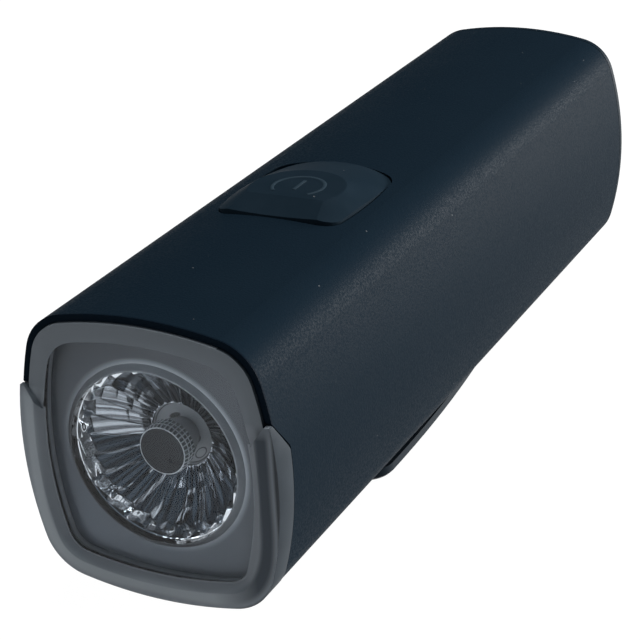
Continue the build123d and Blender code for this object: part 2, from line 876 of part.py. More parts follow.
with BuildPart() as button_pad:
    with BuildSketch(level(dome_base_z)):
        with Locations((0, button_y)):
            Ellipse(disc_radius + dome_side_run, disc_radius + dome_long_run)
    with BuildSketch(level(dome_top_z)):
        with Locations((0, button_y)):
            Circle(disc_radius)
    loft()
    with BuildSketch(level(dome_base_z)):
        with Locations((0, button_y)):
            Ellipse(disc_radius + dome_side_run, disc_radius + dome_long_run)
    extrude(amount=flange_foot_z - dome_base_z)
    with BuildSketch(level(flange_foot_z)):
        add(pad_shape)
    extrude(amount=dome_top_z - flange_foot_z, mode=Mode.INTERSECT)
    with BuildSketch(upright()):
        with BuildLine():
            Polyline(
                (pad_place - overrun, half_height + ramp_step - overrun / 2),
                (pad_place, half_height + ramp_step),
                (pad_place + ramp_run, dome_top_z),
                (pad_place + ramp_run, dome_top_z + overrun),
                (pad_place - overrun, dome_top_z + overrun),
                close=True,
            )
        make_face()
    extrude(amount=pad_width, both=True, mode=Mode.SUBTRACT)
    soft_edges = button_pad.faces().sort_by(Axis.Z)[-1].edges()
    fillet(soft_edges, dome_edge_radius)
    add(pad_flange_ring.part)
    with BuildSketch(level(flange_foot_z)):
        with Locations((0, button_y)):
            Circle(head_radius)
    extrude(amount=head_foot_z + head_height - flange_foot_z, mode=Mode.SUBTRACT)
button_pad.part.label = "button_pad"

# Button plunger, a hard post between the rubber pad and the switch stem
plunger_radius = 2.2
with BuildPart() as button_plunger:
    with BuildSketch(level(stem_top_z)):
        with Locations((0, button_y)):
            Circle(plunger_radius)
    extrude(amount=head_foot_z - stem_top_z)
    with BuildSketch(level(head_foot_z)):
        with Locations((0, button_y)):
            Circle(head_radius)
    extrude(amount=head_height)
button_plunger.part.label = "button_plunger"

# Button frame, a shallow cup glued under the tube's roof that traps the pad's flange
frame_gap = 0.2
with BuildPart() as button_frame:
    with BuildSketch(level(plate_foot_z)):
        add(drawn(pad_shape, pad_flange + frame_gap + frame_wall))
    extrude(amount=half_height)
    with BuildSketch(across(0)):
        add(outline(bore_inset))
    extrude(amount=-tube_length, mode=Mode.INTERSECT)
    with BuildSketch(level(plate_top_z)):
        add(drawn(pad_shape, pad_flange + frame_gap))
    extrude(amount=half_height, mode=Mode.SUBTRACT)
    with BuildSketch(level(plate_foot_z - overrun)):
        with Locations((0, button_y)):
            Circle(plunger_radius + running_gap)
    extrude(amount=half_height, mode=Mode.SUBTRACT)
    add(channel_room.part, mode=Mode.SUBTRACT)
button_frame.part.label = "button_frame"

# Charging port, a folded shell round a tongue
shell_width = 8.9
shell_height = 3.2
shell_length = 7.3
shell_wall = 0.3
tongue_width = 6.7
tongue_thickness = 0.7
tongue_setback = 0.8
port_z = driver_top_z + shell_height / 2
with BuildPart() as usb_port:
    with BuildSketch(across(driver_back)):
        with Locations((0, port_z)):
            RectangleRounded(shell_width, shell_height, shell_height / 2 - shell_wall / 2)
    extrude(amount=shell_length)
    with BuildSketch(across(driver_back)):
        with Locations((0, port_z)):
            RectangleRounded(
                shell_width - 2 * shell_wall,
                shell_height - 2 * shell_wall,
                shell_height / 2 - shell_wall * 1.5,
            )
    extrude(amount=shell_length - shell_wall * 2, mode=Mode.SUBTRACT)
    with BuildSketch(across(driver_back - tongue_setback)):
        with Locations((0, port_z)):
            Rectangle(tongue_width, tongue_thickness)
    extrude(amount=shell_length - tongue_setback - shell_wall)
usb_port.part.label = "usb_port"

# Rear cap: flush end plate, skirt with a seal groove, screw bosses and the flap's pocket
skirt_wall_inset = bore_inset + tray_wall
groove_width = 1.1
groove_depth = 0.6
groove_setback = 1.5
boss_radius = cap_screw_head_radius
hinge_drop = 4.4
knuckle_radius = 0.9
flap_pin_radius = 0.4
pin_bite = 1.1
flap_thickness = 1.1
flap_screw_gap = 1.8
flap_half_width = cap_screw_x - cap_screw_head_radius - flap_screw_gap
flap_top = 3.3
pocket_depth = flap_thickness + slip_fit * 2
hinge_z = port_z - hinge_drop
hinge_y = body_length - slip_fit - knuckle_radius
pocket_floor = body_length - pocket_depth
pocket_half_width = flap_half_width + running_gap
pocket_top_z = port_z + flap_top + running_gap
nail_radius = 2.4
nail_depth = 0.7
cap_edge_radius = 0.4
groove_start = skirt_start + groove_setback
pin_half_length = pocket_half_width + pin_bite
hinge_plane = Plane(
    origin=(0, tube_front + hinge_y, axis_height + hinge_z),
    x_dir=(0, 1, 0),
    z_dir=(1, 0, 0),
)
with BuildPart() as rear_cap:
    with BuildSketch(across(tube_length)):
        add(outline())
    extrude(amount=-cap_flange)
    fillet(rear_cap.faces().sort_by(Axis.Y)[-1].edges(), cap_edge_radius)
    with BuildSketch(across(skirt_start)):
        add(outline(bore_inset))
    extrude(amount=skirt_start - tube_length)
    with BuildSketch(across(skirt_start - overrun)):
        add(outline(skirt_wall_inset))
    extrude(amount=skirt_start - overrun - cap_start, mode=Mode.SUBTRACT)
    with BuildSketch(across(groove_start)):
        add(outline(tube_wall / 2))
        add(outline(bore_inset + groove_depth), mode=Mode.SUBTRACT)
    extrude(amount=-groove_width, mode=Mode.SUBTRACT)
    with BuildSketch(across(skirt_start)):
        with GridLocations(2 * cap_screw_x, 2 * cap_screw_z, 2, 2):
            Circle(boss_radius)
        add(outline(bore_inset + groove_depth), mode=Mode.INTERSECT)
    extrude(amount=skirt_start - cap_start)
    with BuildSketch(across(body_length)):
        with GridLocations(2 * cap_screw_x, 2 * cap_screw_z, 2, 2):
            Circle(cap_screw_head_radius + screw_fit)
    extrude(amount=cap_screw_radius, mode=Mode.SUBTRACT)
    with BuildSketch(across(body_length)):
        with GridLocations(2 * cap_screw_x, 2 * cap_screw_z, 2, 2):
            Circle(cap_screw_radius + screw_fit)
    extrude(amount=body_length - skirt_start + overrun, mode=Mode.SUBTRACT)
    with BuildSketch(across(pocket_floor)):
        with Locations((0, hinge_z)):
            Rectangle(
                2 * pocket_half_width,
                pocket_top_z - hinge_z,
                align=(Align.CENTER, Align.MIN),
            )
    extrude(amount=-pocket_depth - overrun, mode=Mode.SUBTRACT)
    with BuildSketch(hinge_plane):
        Circle(knuckle_radius + running_gap)
        Rectangle(
            overrun,
            2 * (knuckle_radius + running_gap),
            align=(Align.MIN, Align.CENTER),
        )
    extrude(amount=pocket_half_width, both=True, mode=Mode.SUBTRACT)
    with BuildSketch(hinge_plane):
        Circle(flap_pin_radius)
    extrude(amount=pin_half_length, both=True, mode=Mode.SUBTRACT)
    with BuildSketch(across(body_length - nail_depth)):
        with Locations((0, pocket_top_z)):
            Circle(nail_radius)
    extrude(amount=-overrun, mode=Mode.SUBTRACT)
    with BuildSketch(across(cap_start - overrun)):
        with Locations((0, port_z)):
            RectangleRounded(port_width, port_height, port_height / 2 - slip_fit)
    extrude(amount=-cap_plate - 2 * overrun, mode=Mode.SUBTRACT)
rear_cap.part.label = "rear_cap"

# Rear seal in the cap's groove
with BuildPart() as rear_seal:
    with BuildSketch(across(groove_start + hinge_fit)):
        add(outline(tube_wall + hinge_fit))
        add(outline(bore_inset + groove_depth - hinge_fit), mode=Mode.SUBTRACT)
    extrude(amount=2 * hinge_fit - groove_width)
rear_seal.part.label = "rear_seal"

# Rear cap screws
cap_screw_sink = slip_fit
with BuildPart() as cap_screws:
    with BuildSketch(across(body_length - cap_screw_sink)):
        with GridLocations(2 * cap_screw_x, 2 * cap_screw_z, 2, 2):
            Circle(cap_screw_head_radius)
    extrude(amount=cap_screw_radius - cap_screw_sink)
    with BuildSketch(across(body_length - cap_screw_radius)):
        with GridLocations(2 * cap_screw_x, 2 * cap_screw_z, 2, 2):
            Circle(cap_screw_radius)
    extrude(amount=body_length - cap_screw_radius - skirt_start + cap_screw_bite)
    with BuildSketch(across(body_length - cap_screw_sink)):
        with GridLocations(2 * cap_screw_x, 2 * cap_screw_z, 2, 2):
            RegularPolygon(cap_screw_radius, 6)
    extrude(amount=cap_screw_radius / 2, mode=Mode.SUBTRACT)
cap_screws.part.label = "cap_screws"

# Port flap: a rubber door on a pin, with a plug that fills the port's mouth
plug_gap = 0.4
plug_length = 1.6
plate_front = body_length - slip_fit - flap_thickness
with BuildPart() as usb_flap:
    with BuildSketch(across(plate_front)):
        with Locations((0, hinge_z)):
            Rectangle(
                2 * flap_half_width,
                port_z + flap_top - hinge_z,
                align=(Align.CENTER, Align.MIN),
            )
    extrude(amount=-flap_thickness)
    outer_corners = usb_flap.edges().filter_by(Axis.Y).group_by(Axis.Z)[-1]
    fillet(outer_corners, flap_thickness)
    with BuildSketch(across(plate_front)):
        with Locations((0, port_z)):
            RectangleRounded(
                port_width - 2 * plug_gap,
                port_height - 2 * plug_gap,
                port_height / 2 - 2 * plug_gap,
            )
    extrude(amount=plug_length)
    with BuildSketch(hinge_plane):
        Circle(knuckle_radius)
    extrude(amount=flap_half_width, both=True)
    with BuildSketch(hinge_plane):
        Circle(flap_pin_radius + hinge_fit)
    extrude(amount=flap_half_width + overrun, both=True, mode=Mode.SUBTRACT)
usb_flap.part.label = "usb_flap"

# Flap pin, pressed into both sides of the cap's pocket
with BuildPart() as flap_pin:
    with BuildSketch(hinge_plane):
        Circle(flap_pin_radius)
    extrude(amount=pin_half_length, both=True)
flap_pin.part.label = "flap_pin"

# Mounting shoe: a tapered rail whose flanges slide into a handlebar bracket
gasket_thickness = 0.4
rail_height = 1.5
rail_groove = 1.7
latch_width = 6.0
latch_length = 3.0
latch_depth = 1.2
latch_setback = 5.0
counterbore = shoe_screw_head + slip_fit * 2
shoe_floor_z = -half_height - shoe_drop
neck_inset = rail_groove
rail_edge_break = 0.4
with BuildPart() as mount_shoe:
    with BuildSketch(level(shoe_floor_z)):
        add(shoe_shape)
    extrude(amount=rail_height)
    chamfer(mount_shoe.faces().sort_by(Axis.Z)[0].edges(), rail_edge_break)
    with BuildSketch(level(shoe_floor_z)):
        add(drawn(shoe_shape, -neck_inset))
    extrude(amount=half_height)
    with BuildSketch(across(0)):
        add(outline(-gasket_thickness))
    extrude(amount=-body_length, mode=Mode.SUBTRACT)
    with BuildSketch(level(shoe_floor_z)):
        with Locations(*shoe_screw_spots):
            Circle(shoe_screw_head_radius + screw_fit)
    extrude(amount=counterbore, mode=Mode.SUBTRACT)
    with BuildSketch(level(shoe_floor_z)):
        with Locations(*shoe_screw_spots):
            Circle(shoe_hole_radius)
    extrude(amount=half_height, mode=Mode.SUBTRACT)
    with BuildSketch(level(shoe_floor_z)):
        with Locations((0, shoe_place + shoe_length - latch_setback)):
            Rectangle(latch_width, latch_length)
    extrude(amount=latch_depth, mode=Mode.SUBTRACT)
mount_shoe.part.label = "mount_shoe"

# Shoe gasket between the shoe and the tube
with BuildPart() as shoe_gasket:
    with BuildSketch(across(0)):
        add(outline(-gasket_thickness))
        add(outline(), mode=Mode.SUBTRACT)
    extrude(amount=-body_length)
    with BuildSketch(level(shoe_floor_z)):
        add(drawn(shoe_shape, -neck_inset))
        with Locations(*shoe_screw_spots):
            Circle(shoe_hole_radius, mode=Mode.SUBTRACT)
    extrude(amount=half_height, mode=Mode.INTERSECT)
shoe_gasket.part.label = "shoe_gasket"

# Shoe screws
screw_head_foot_z = shoe_floor_z + counterbore - shoe_screw_head
screw_tip_z = floor_z + nut_plate_thickness
with BuildPart() as shoe_screws:
    with BuildSketch(level(screw_head_foot_z)):
        with Locations(*shoe_screw_spots):
            Circle(shoe_screw_head_radius)
    extrude(amount=shoe_screw_head)
    with BuildSketch(level(screw_head_foot_z)):
        with Locations(*shoe_screw_spots):
            Circle(shoe_screw_radius)
    extrude(amount=screw_tip_z - screw_head_foot_z)
    with BuildSketch(level(screw_head_foot_z)):
        with Locations(*shoe_screw_spots):
            RegularPolygon(shoe_screw_radius, 6)
    extrude(amount=shoe_screw_head / 2, mode=Mode.SUBTRACT)
shoe_screws.part.label = "shoe_screws"

# Nut plate on the tube's floor
nut_plate_margin = 4.0
nut_plate_edge = 1.0
nut_plate_width = land_width - 2 * nut_plate_edge
with BuildPart() as shoe_nut_plate:
    with BuildSketch(level(floor_z)) as plate_plan:
        with Locations((0, shoe_place + shoe_length / 2)):
            Rectangle(
                nut_plate_width,
                shoe_length - 2 * shoe_screw_setback + 2 * nut_plate_margin,
            )
        with Locations(*shoe_screw_spots):
            Circle(shoe_hole_radius, mode=Mode.SUBTRACT)
    extrude(amount=nut_plate_thickness)
shoe_nut_plate.part.label = "shoe_nut_plate"

# Emitter wires, from the front of the emitter board through the heat sink to the driver
wire_rise = driver_top_z + wire_diameter / 2


def emitter_wire(offset_x):
    """Wire up the board's face, back over its flat and down onto the driver board."""
    face = tube_front + led_board_front - wire_diameter / 2 - hinge_fit
    landing = tube_front + driver_front
    points = [
        (offset_x, face, axis_height + wire_flat_z - wire_bend / 2),
        (offset_x, face, axis_height + wire_run_z),
        (offset_x, landing, axis_height + wire_run_z),
        (offset_x, landing + 2 * wire_bend, axis_height + wire_rise),
        (offset_x, landing + 4 * wire_bend, axis_height + wire_rise),
    ]
    with BuildPart(mode=Mode.PRIVATE) as wire:
        with BuildLine() as route:
            FilletPolyline(*points, radius=wire_bend)
        with BuildSketch(Plane(origin=route.line @ 0, z_dir=route.line % 0)):
            Circle(wire_diameter / 2)
        sweep(path=route.line)
    return wire.part


with BuildPart() as red_wire:
    add(emitter_wire(-wire_spread))
red_wire.part.label = "red_wire"

with BuildPart() as black_wire:
    add(emitter_wire(wire_spread))
black_wire.part.label = "black_wire"

os.makedirs("parts", exist_ok=True)
for piece in (
    body_tube,
    front_lens,
    front_seal,
    bezel_mask,
    reflector,
    centre_lens,
    led_emitter,
    led_board,
    thermal_pad,
    led_board_screws,
    heat_sink,
    battery_tray,
    battery_cell,
    negative_tab,
    positive_tab,
    foam_pads,
    driver_board,
    board_screws,
    board_components,
    tact_switch,
    switch_stem,
    button_pad,
    button_plunger,
    button_frame,
    usb_port,
    rear_cap,
    rear_seal,
    cap_screws,
    usb_flap,
    flap_pin,
    mount_shoe,
    shoe_gasket,
    shoe_screws,
    shoe_nut_plate,
    red_wire,
    black_wire,
):
    export_step(piece.part, f"parts/{piece.part.label}.step")
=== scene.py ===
# %% [markdown]
# A compact bicycle headlight: a crowned aluminium tube with a clear front lens,
# a rubber button on its roof and a mounting shoe underneath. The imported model
# gives every piece its size and place, and this script gives each one its
# finish, then models the pieces whose fine shape only shows close up.

# %% Load the model
import json
import math

import bpy
from mathutils import Matrix, Vector


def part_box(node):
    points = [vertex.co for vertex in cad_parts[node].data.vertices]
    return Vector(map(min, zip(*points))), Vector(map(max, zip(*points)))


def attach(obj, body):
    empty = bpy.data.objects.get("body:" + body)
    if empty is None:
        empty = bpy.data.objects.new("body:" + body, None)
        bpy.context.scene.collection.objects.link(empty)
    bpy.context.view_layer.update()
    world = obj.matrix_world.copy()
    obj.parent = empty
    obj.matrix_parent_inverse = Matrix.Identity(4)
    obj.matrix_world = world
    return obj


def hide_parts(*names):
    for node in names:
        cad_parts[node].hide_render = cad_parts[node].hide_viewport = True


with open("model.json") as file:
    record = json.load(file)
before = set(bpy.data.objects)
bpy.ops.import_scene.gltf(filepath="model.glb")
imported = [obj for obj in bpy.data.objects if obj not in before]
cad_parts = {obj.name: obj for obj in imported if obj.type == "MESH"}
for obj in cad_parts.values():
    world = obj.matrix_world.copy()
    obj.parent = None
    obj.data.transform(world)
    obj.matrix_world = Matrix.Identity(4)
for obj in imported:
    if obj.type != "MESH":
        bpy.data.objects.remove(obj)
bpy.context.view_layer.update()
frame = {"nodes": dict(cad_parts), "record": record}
NODES = frame["nodes"]
MM = 0.001


# %% [markdown]
# Every place on the light counts back from the tube's front edge and up from
# its centre line. Both are read from the model: the tube's own box gives its
# front, middle height, width and height. The point where the centre line meets
# the front edge is called the nose.

# %% Places along the light
tube_low, tube_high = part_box("body_tube")
FRONT = tube_low.y / MM
AXIS = (tube_low.z + tube_high.z) / 2 / MM
HALF_WIDTH = (tube_high.x - tube_low.x) / 2 / MM
HALF_HEIGHT = (tube_high.z - tube_low.z) / 2 / MM


def spot(x, back, up):
    """A place in metres from millimetres: across, back from the front edge, up from the axis."""
    return Vector((x * MM, (FRONT + back) * MM, (AXIS + up) * MM))


NOSE = spot(0, 0, 0)
print("front edge", round(FRONT, 2), "axis height", round(AXIS, 2))


# %% [markdown]
# The camera stands where the photographer stood: a little to the right of the
# lens, looking down on the roof. Its place and turn come from the outline of
# the tube, and its long lens keeps the sides of the light nearly parallel.

# %% Camera
CAMERA_SPOT = (101.58, -154.22, 97.68)
CAMERA_AZIMUTH = 27.375
CAMERA_ELEVATION = 24.078
CAMERA_ROLL = -3.345
CAMERA_FOCAL_PIXELS = 1918.377
CLIP_START = 0.01
CLIP_END = 20.0
IMAGE_PIXELS = 640
SENSOR = 36.0

azimuth = math.radians(CAMERA_AZIMUTH)
elevation = math.radians(CAMERA_ELEVATION)
roll = math.radians(CAMERA_ROLL)
towards_camera = Vector((
    math.sin(azimuth) * math.cos(elevation),
    -math.cos(azimuth) * math.cos(elevation),
    math.sin(elevation),
))
level_right = Vector((0, 0, 1)).cross(towards_camera).normalized()
level_up = towards_camera.cross(level_right)
right = level_right * math.cos(roll) + level_up * math.sin(roll)
upright = level_up * math.cos(roll) - level_right * math.sin(roll)
lens_data = bpy.data.cameras.new("photo_camera")
lens_data.sensor_width = SENSOR
lens_data.lens = CAMERA_FOCAL_PIXELS / IMAGE_PIXELS * SENSOR
lens_data.clip_start = CLIP_START
lens_data.clip_end = CLIP_END
camera = bpy.data.objects.new("photo_camera", lens_data)
bpy.context.scene.collection.objects.link(camera)
turn = Matrix((right, upright, towards_camera)).transposed().to_4x4()
camera.matrix_world = Matrix.Translation(spot(*CAMERA_SPOT)) @ turn
bpy.context.scene.camera = camera
print("lens", round(lens_data.lens, 1), "mm, camera", [round(v, 3) for v in camera.location])


# %% [markdown]
# A material here is a node tree on a Principled shader. The small helpers below
# add nodes, join sockets and set values, so that each finish reads as a short
# recipe. Each value that they take is a number, a colour or another node's
# output, and one helper tells these apart.

# %% Node helpers
def new_material(name):
    """An empty material with a Principled shader and its output, and the shader node."""
    material = bpy.data.materials.new(name)
    material.use_nodes = True
    tree = material.node_tree
    tree.nodes.clear()
    shader = tree.nodes.new("ShaderNodeBsdfPrincipled")
    output = tree.nodes.new("ShaderNodeOutputMaterial")
    tree.links.new(shader.outputs["BSDF"], output.inputs["Surface"])
    return material, tree, shader


def feed(tree, socket, value):
    """Links a socket to another node's output, or gives it a constant."""
    if isinstance(value, bpy.types.NodeSocket):
        tree.links.new(value, socket)
    else:
        socket.default_value = value


def add_node(tree, kind, **values):
    """A node with its input sockets fed by name, underscores standing for spaces."""
    node = tree.nodes.new(kind)
    for name, value in values.items():
        feed(tree, node.inputs[name.replace("_", " ")], value)
    return node


def maths(tree, operation, *values):
    """The result of a math node over numbers and number sockets."""
    node = tree.nodes.new("ShaderNodeMath")
    node.operation = operation
    for socket, value in zip(node.inputs, values):
        feed(tree, socket, value)
    return node.outputs[0]


def ramp(tree, source, low_stop, high_stop):
    """A colour ramp over source between two stops, each a position and a grey or colour."""
    node = tree.nodes.new("ShaderNodeValToRGB")
    for point, (position, shade) in zip(node.color_ramp.elements, (low_stop, high_stop)):
        point.position = position
        if isinstance(shade, (int, float)):
            shade = (shade, shade, shade)
        point.color = (*shade, 1)
    tree.links.new(source, node.inputs["Fac"])
    return node.outputs["Color"]


def mix_colour(tree, mask, first, second):
    """first where mask is 0, second where it is 1; each is a colour or a socket."""
    node = tree.nodes.new("ShaderNodeMix")
    node.data_type = "RGBA"
    tree.links.new(mask, node.inputs["Factor"])
    for name, value in (("A", first), ("B", second)):
        feed(tree, node.inputs[name], (*value, 1) if isinstance(value, tuple) else value)
    return node.outputs["Result"]


def bump(tree, shader, height, strength, distance):
    """Feeds a height pattern to the shader's normal, its depth in millimetres."""
    node = add_node(tree, "ShaderNodeBump", Strength=strength, Distance=distance * MM, Height=height)
    tree.links.new(node.outputs["Normal"], shader.inputs["Normal"])


def spread(tree, source, low, high):
    """A number socket stretched so that low gives 0 and high gives 1, held inside those."""
    node = add_node(tree, "ShaderNodeMapRange", Value=source, From_Min=low, From_Max=high)
    return node.outputs["Result"]


def in_millimetres(tree, source):
    """A place socket in metres turned into millimetres."""
    node = tree.nodes.new("ShaderNodeVectorMath")
    node.operation = "SCALE"
    node.inputs["Scale"].default_value = 1 / MM
    tree.links.new(source, node.inputs[0])
    return node.outputs[0]


def place_from_nose(tree):
    """Object space counted in millimetres from the nose."""
    place = tree.nodes.new("ShaderNodeTexCoord")
    centred = tree.nodes.new("ShaderNodeVectorMath")
    centred.operation = "SUBTRACT"
    centred.inputs[1].default_value = NOSE
    tree.links.new(place.outputs["Object"], centred.inputs[0])
    return in_millimetres(tree, centred.outputs[0])


def axes_of(tree, place):
    """The X, Y and Z of a place: across, deep behind the front edge, up from the axis."""
    axes = tree.nodes.new("ShaderNodeSeparateXYZ")
    tree.links.new(place, axes.inputs[0])
    return axes.outputs["X"], axes.outputs["Y"], axes.outputs["Z"]


def distance_in(tree, first, second):
    """Distance from the origin in the plane of two number sockets."""
    squares = [maths(tree, "MULTIPLY", side, side) for side in (first, second)]
    return maths(tree, "SQRT", maths(tree, "ADD", *squares))


def line_mask(tree, source, middle, half_width, softness):
    """1 where a number socket is within half_width of middle, falling softly to 0."""
    away = maths(tree, "ABSOLUTE", maths(tree, "SUBTRACT", source, middle))
    fade = add_node(tree, "ShaderNodeMapRange", Value=away, From_Min=half_width + softness,
                    From_Max=half_width - softness)
    fade.interpolation_type = "SMOOTHSTEP"
    return fade.outputs["Result"]


print("node helpers ready")


# %% [markdown]
# Two effects are shared by many finishes, so each is a node group: a change in
# the group then reaches every material. Fine even grain stands for the tiny
# pits of blasted aluminium, moulded plastic and rubber. Its size is given in
# grains per millimetre, and it gives a height for the bump and a slow mottle
# that shifts the colour a little from place to place.

# %% Grain group
PIT_DETAIL = 2.0
PIT_ROUGHNESS = 0.6
MOTTLE_DETAIL = 3.0
MOTTLE_ROUGHNESS = 0.5


def new_group(name, inputs, outputs):
    """An empty node group with number sockets: its tree, start, end and object space in mm."""
    group = bpy.data.node_groups.new(name, "ShaderNodeTree")
    for way, labels in (("INPUT", inputs), ("OUTPUT", outputs)):
        for label in labels:
            group.interface.new_socket(name=label, in_out=way, socket_type="NodeSocketFloat")
    start = group.nodes.new("NodeGroupInput")
    end = group.nodes.new("NodeGroupOutput")
    place = group.nodes.new("ShaderNodeTexCoord")
    return group, start, end, in_millimetres(group, place.outputs["Object"])


def make_grain_group():
    """Fine pits and a slow mottle in object space."""
    group, start, end, place = new_group(
        "surface_grain", ("Per Millimetre", "Mottle Size"), ("Height", "Mottle"))
    pits = add_node(group, "ShaderNodeTexNoise", Vector=place, Detail=PIT_DETAIL,
                    Roughness=PIT_ROUGHNESS, Scale=start.outputs["Per Millimetre"])
    slow = add_node(group, "ShaderNodeTexNoise", Vector=place, Detail=MOTTLE_DETAIL,
                    Roughness=MOTTLE_ROUGHNESS,
                    Scale=maths(group, "DIVIDE", 1.0, start.outputs["Mottle Size"]))
    group.links.new(pits.outputs["Fac"], end.inputs["Height"])
    group.links.new(slow.outputs["Fac"], end.inputs["Mottle"])
    return group


def grouped(tree, group, **values):
    """A node group placed in a material, with its values."""
    node = tree.nodes.new("ShaderNodeGroup")
    node.node_tree = group
    for name, value in values.items():
        node.inputs[name.replace("_", " ")].default_value = value
    return node


GRAIN = make_grain_group()


def grain(tree, per_mm, mottle_mm):
    """The grain group placed in a material, with its two outputs."""
    node = grouped(tree, GRAIN, Per_Millimetre=per_mm, Mottle_Size=mottle_mm)
    return node.outputs["Height"], node.outputs["Mottle"]


print("groups:", GRAIN.name)


# %% [markdown]
# Dust settles on a dark part as sparse pale specks. A Voronoi cell pattern
# gives one point per cell, and only the points that a second random value
# picks become specks, so that they look scattered and not like a grid.

# %% Dust group
DUST_PER_MM = 0.9


def make_dust_group():
    """Sparse specks: a mask that is 1 on a speck."""
    group, start, end, place = new_group("dust_specks", ("Per Millimetre", "Radius", "Share"), ("Mask",))
    cells = add_node(group, "ShaderNodeTexVoronoi", Vector=place, Scale=start.outputs["Per Millimetre"])
    near = maths(group, "LESS_THAN", cells.outputs["Distance"], start.outputs["Radius"])
    split = add_node(group, "ShaderNodeSeparateColor", Color=cells.outputs["Color"])
    picked = maths(group, "LESS_THAN", split.outputs["Red"], start.outputs["Share"])
    group.links.new(maths(group, "MULTIPLY", near, picked), end.inputs["Mask"])
    return group


DUST = make_dust_group()


def dust(tree, radius, share):
    """The dust group placed in a material, with its mask."""
    node = grouped(tree, DUST, Per_Millimetre=DUST_PER_MM, Radius=radius, Share=share)
    return node.outputs["Mask"]


print("groups:", DUST.name)


# %% [markdown]
# Most finishes follow one recipe: a base colour that the mottle shifts, grain
# for the bump, and dust where the piece is open to the air. Colours are
# written in linear light. The dark outer plastics and rubbers are so matt that
# a white floor hardly mirrors in them, which a low index of refraction gives.

# %% One recipe for the plain finishes
MATT_IOR = 1.06
PLASTIC_IOR = 1.45
PLAIN_SPECK = 0.07
PLAIN_DUST = (0.2, 0.2, 0.2)
PLAIN_BUMP = 0.4
ROUGHNESS_SWING = 0.03


def plain_finish(name, dark, light, roughness, grain_mm=6.0, depth=0.02, mottle_mm=4.0,
                 metallic=0.0, ior=PLASTIC_IOR, dust_share=0.0):
    """A grained finish between two colours, with dust where a share is given."""
    material, tree, shader = new_material(name)
    height, mottle = grain(tree, grain_mm, mottle_mm)
    mask = ramp(tree, mottle, (0.35, 0.0), (0.65, 1.0))
    colour = mix_colour(tree, mask, dark, light)
    if dust_share:
        colour = mix_colour(tree, dust(tree, PLAIN_SPECK, dust_share), colour, PLAIN_DUST)
    tree.links.new(colour, shader.inputs["Base Color"])
    rough = ramp(tree, mottle, (0.3, roughness - ROUGHNESS_SWING), (0.7, roughness + ROUGHNESS_SWING))
    tree.links.new(rough, shader.inputs["Roughness"])
    shader.inputs["Metallic"].default_value = metallic
    shader.inputs["IOR"].default_value = ior
    bump(tree, shader, height, PLAIN_BUMP, depth)
    return material


print("plain finishes have an index of", PLASTIC_IOR, "or down to", MATT_IOR)


# %% [markdown]
# The recipe now makes the finishes of every plain piece, inside and out. Metal
# is bright and fully metallic, boards and sleeves have their trade's colours,
# and the dark outer mouldings share the tube's navy.

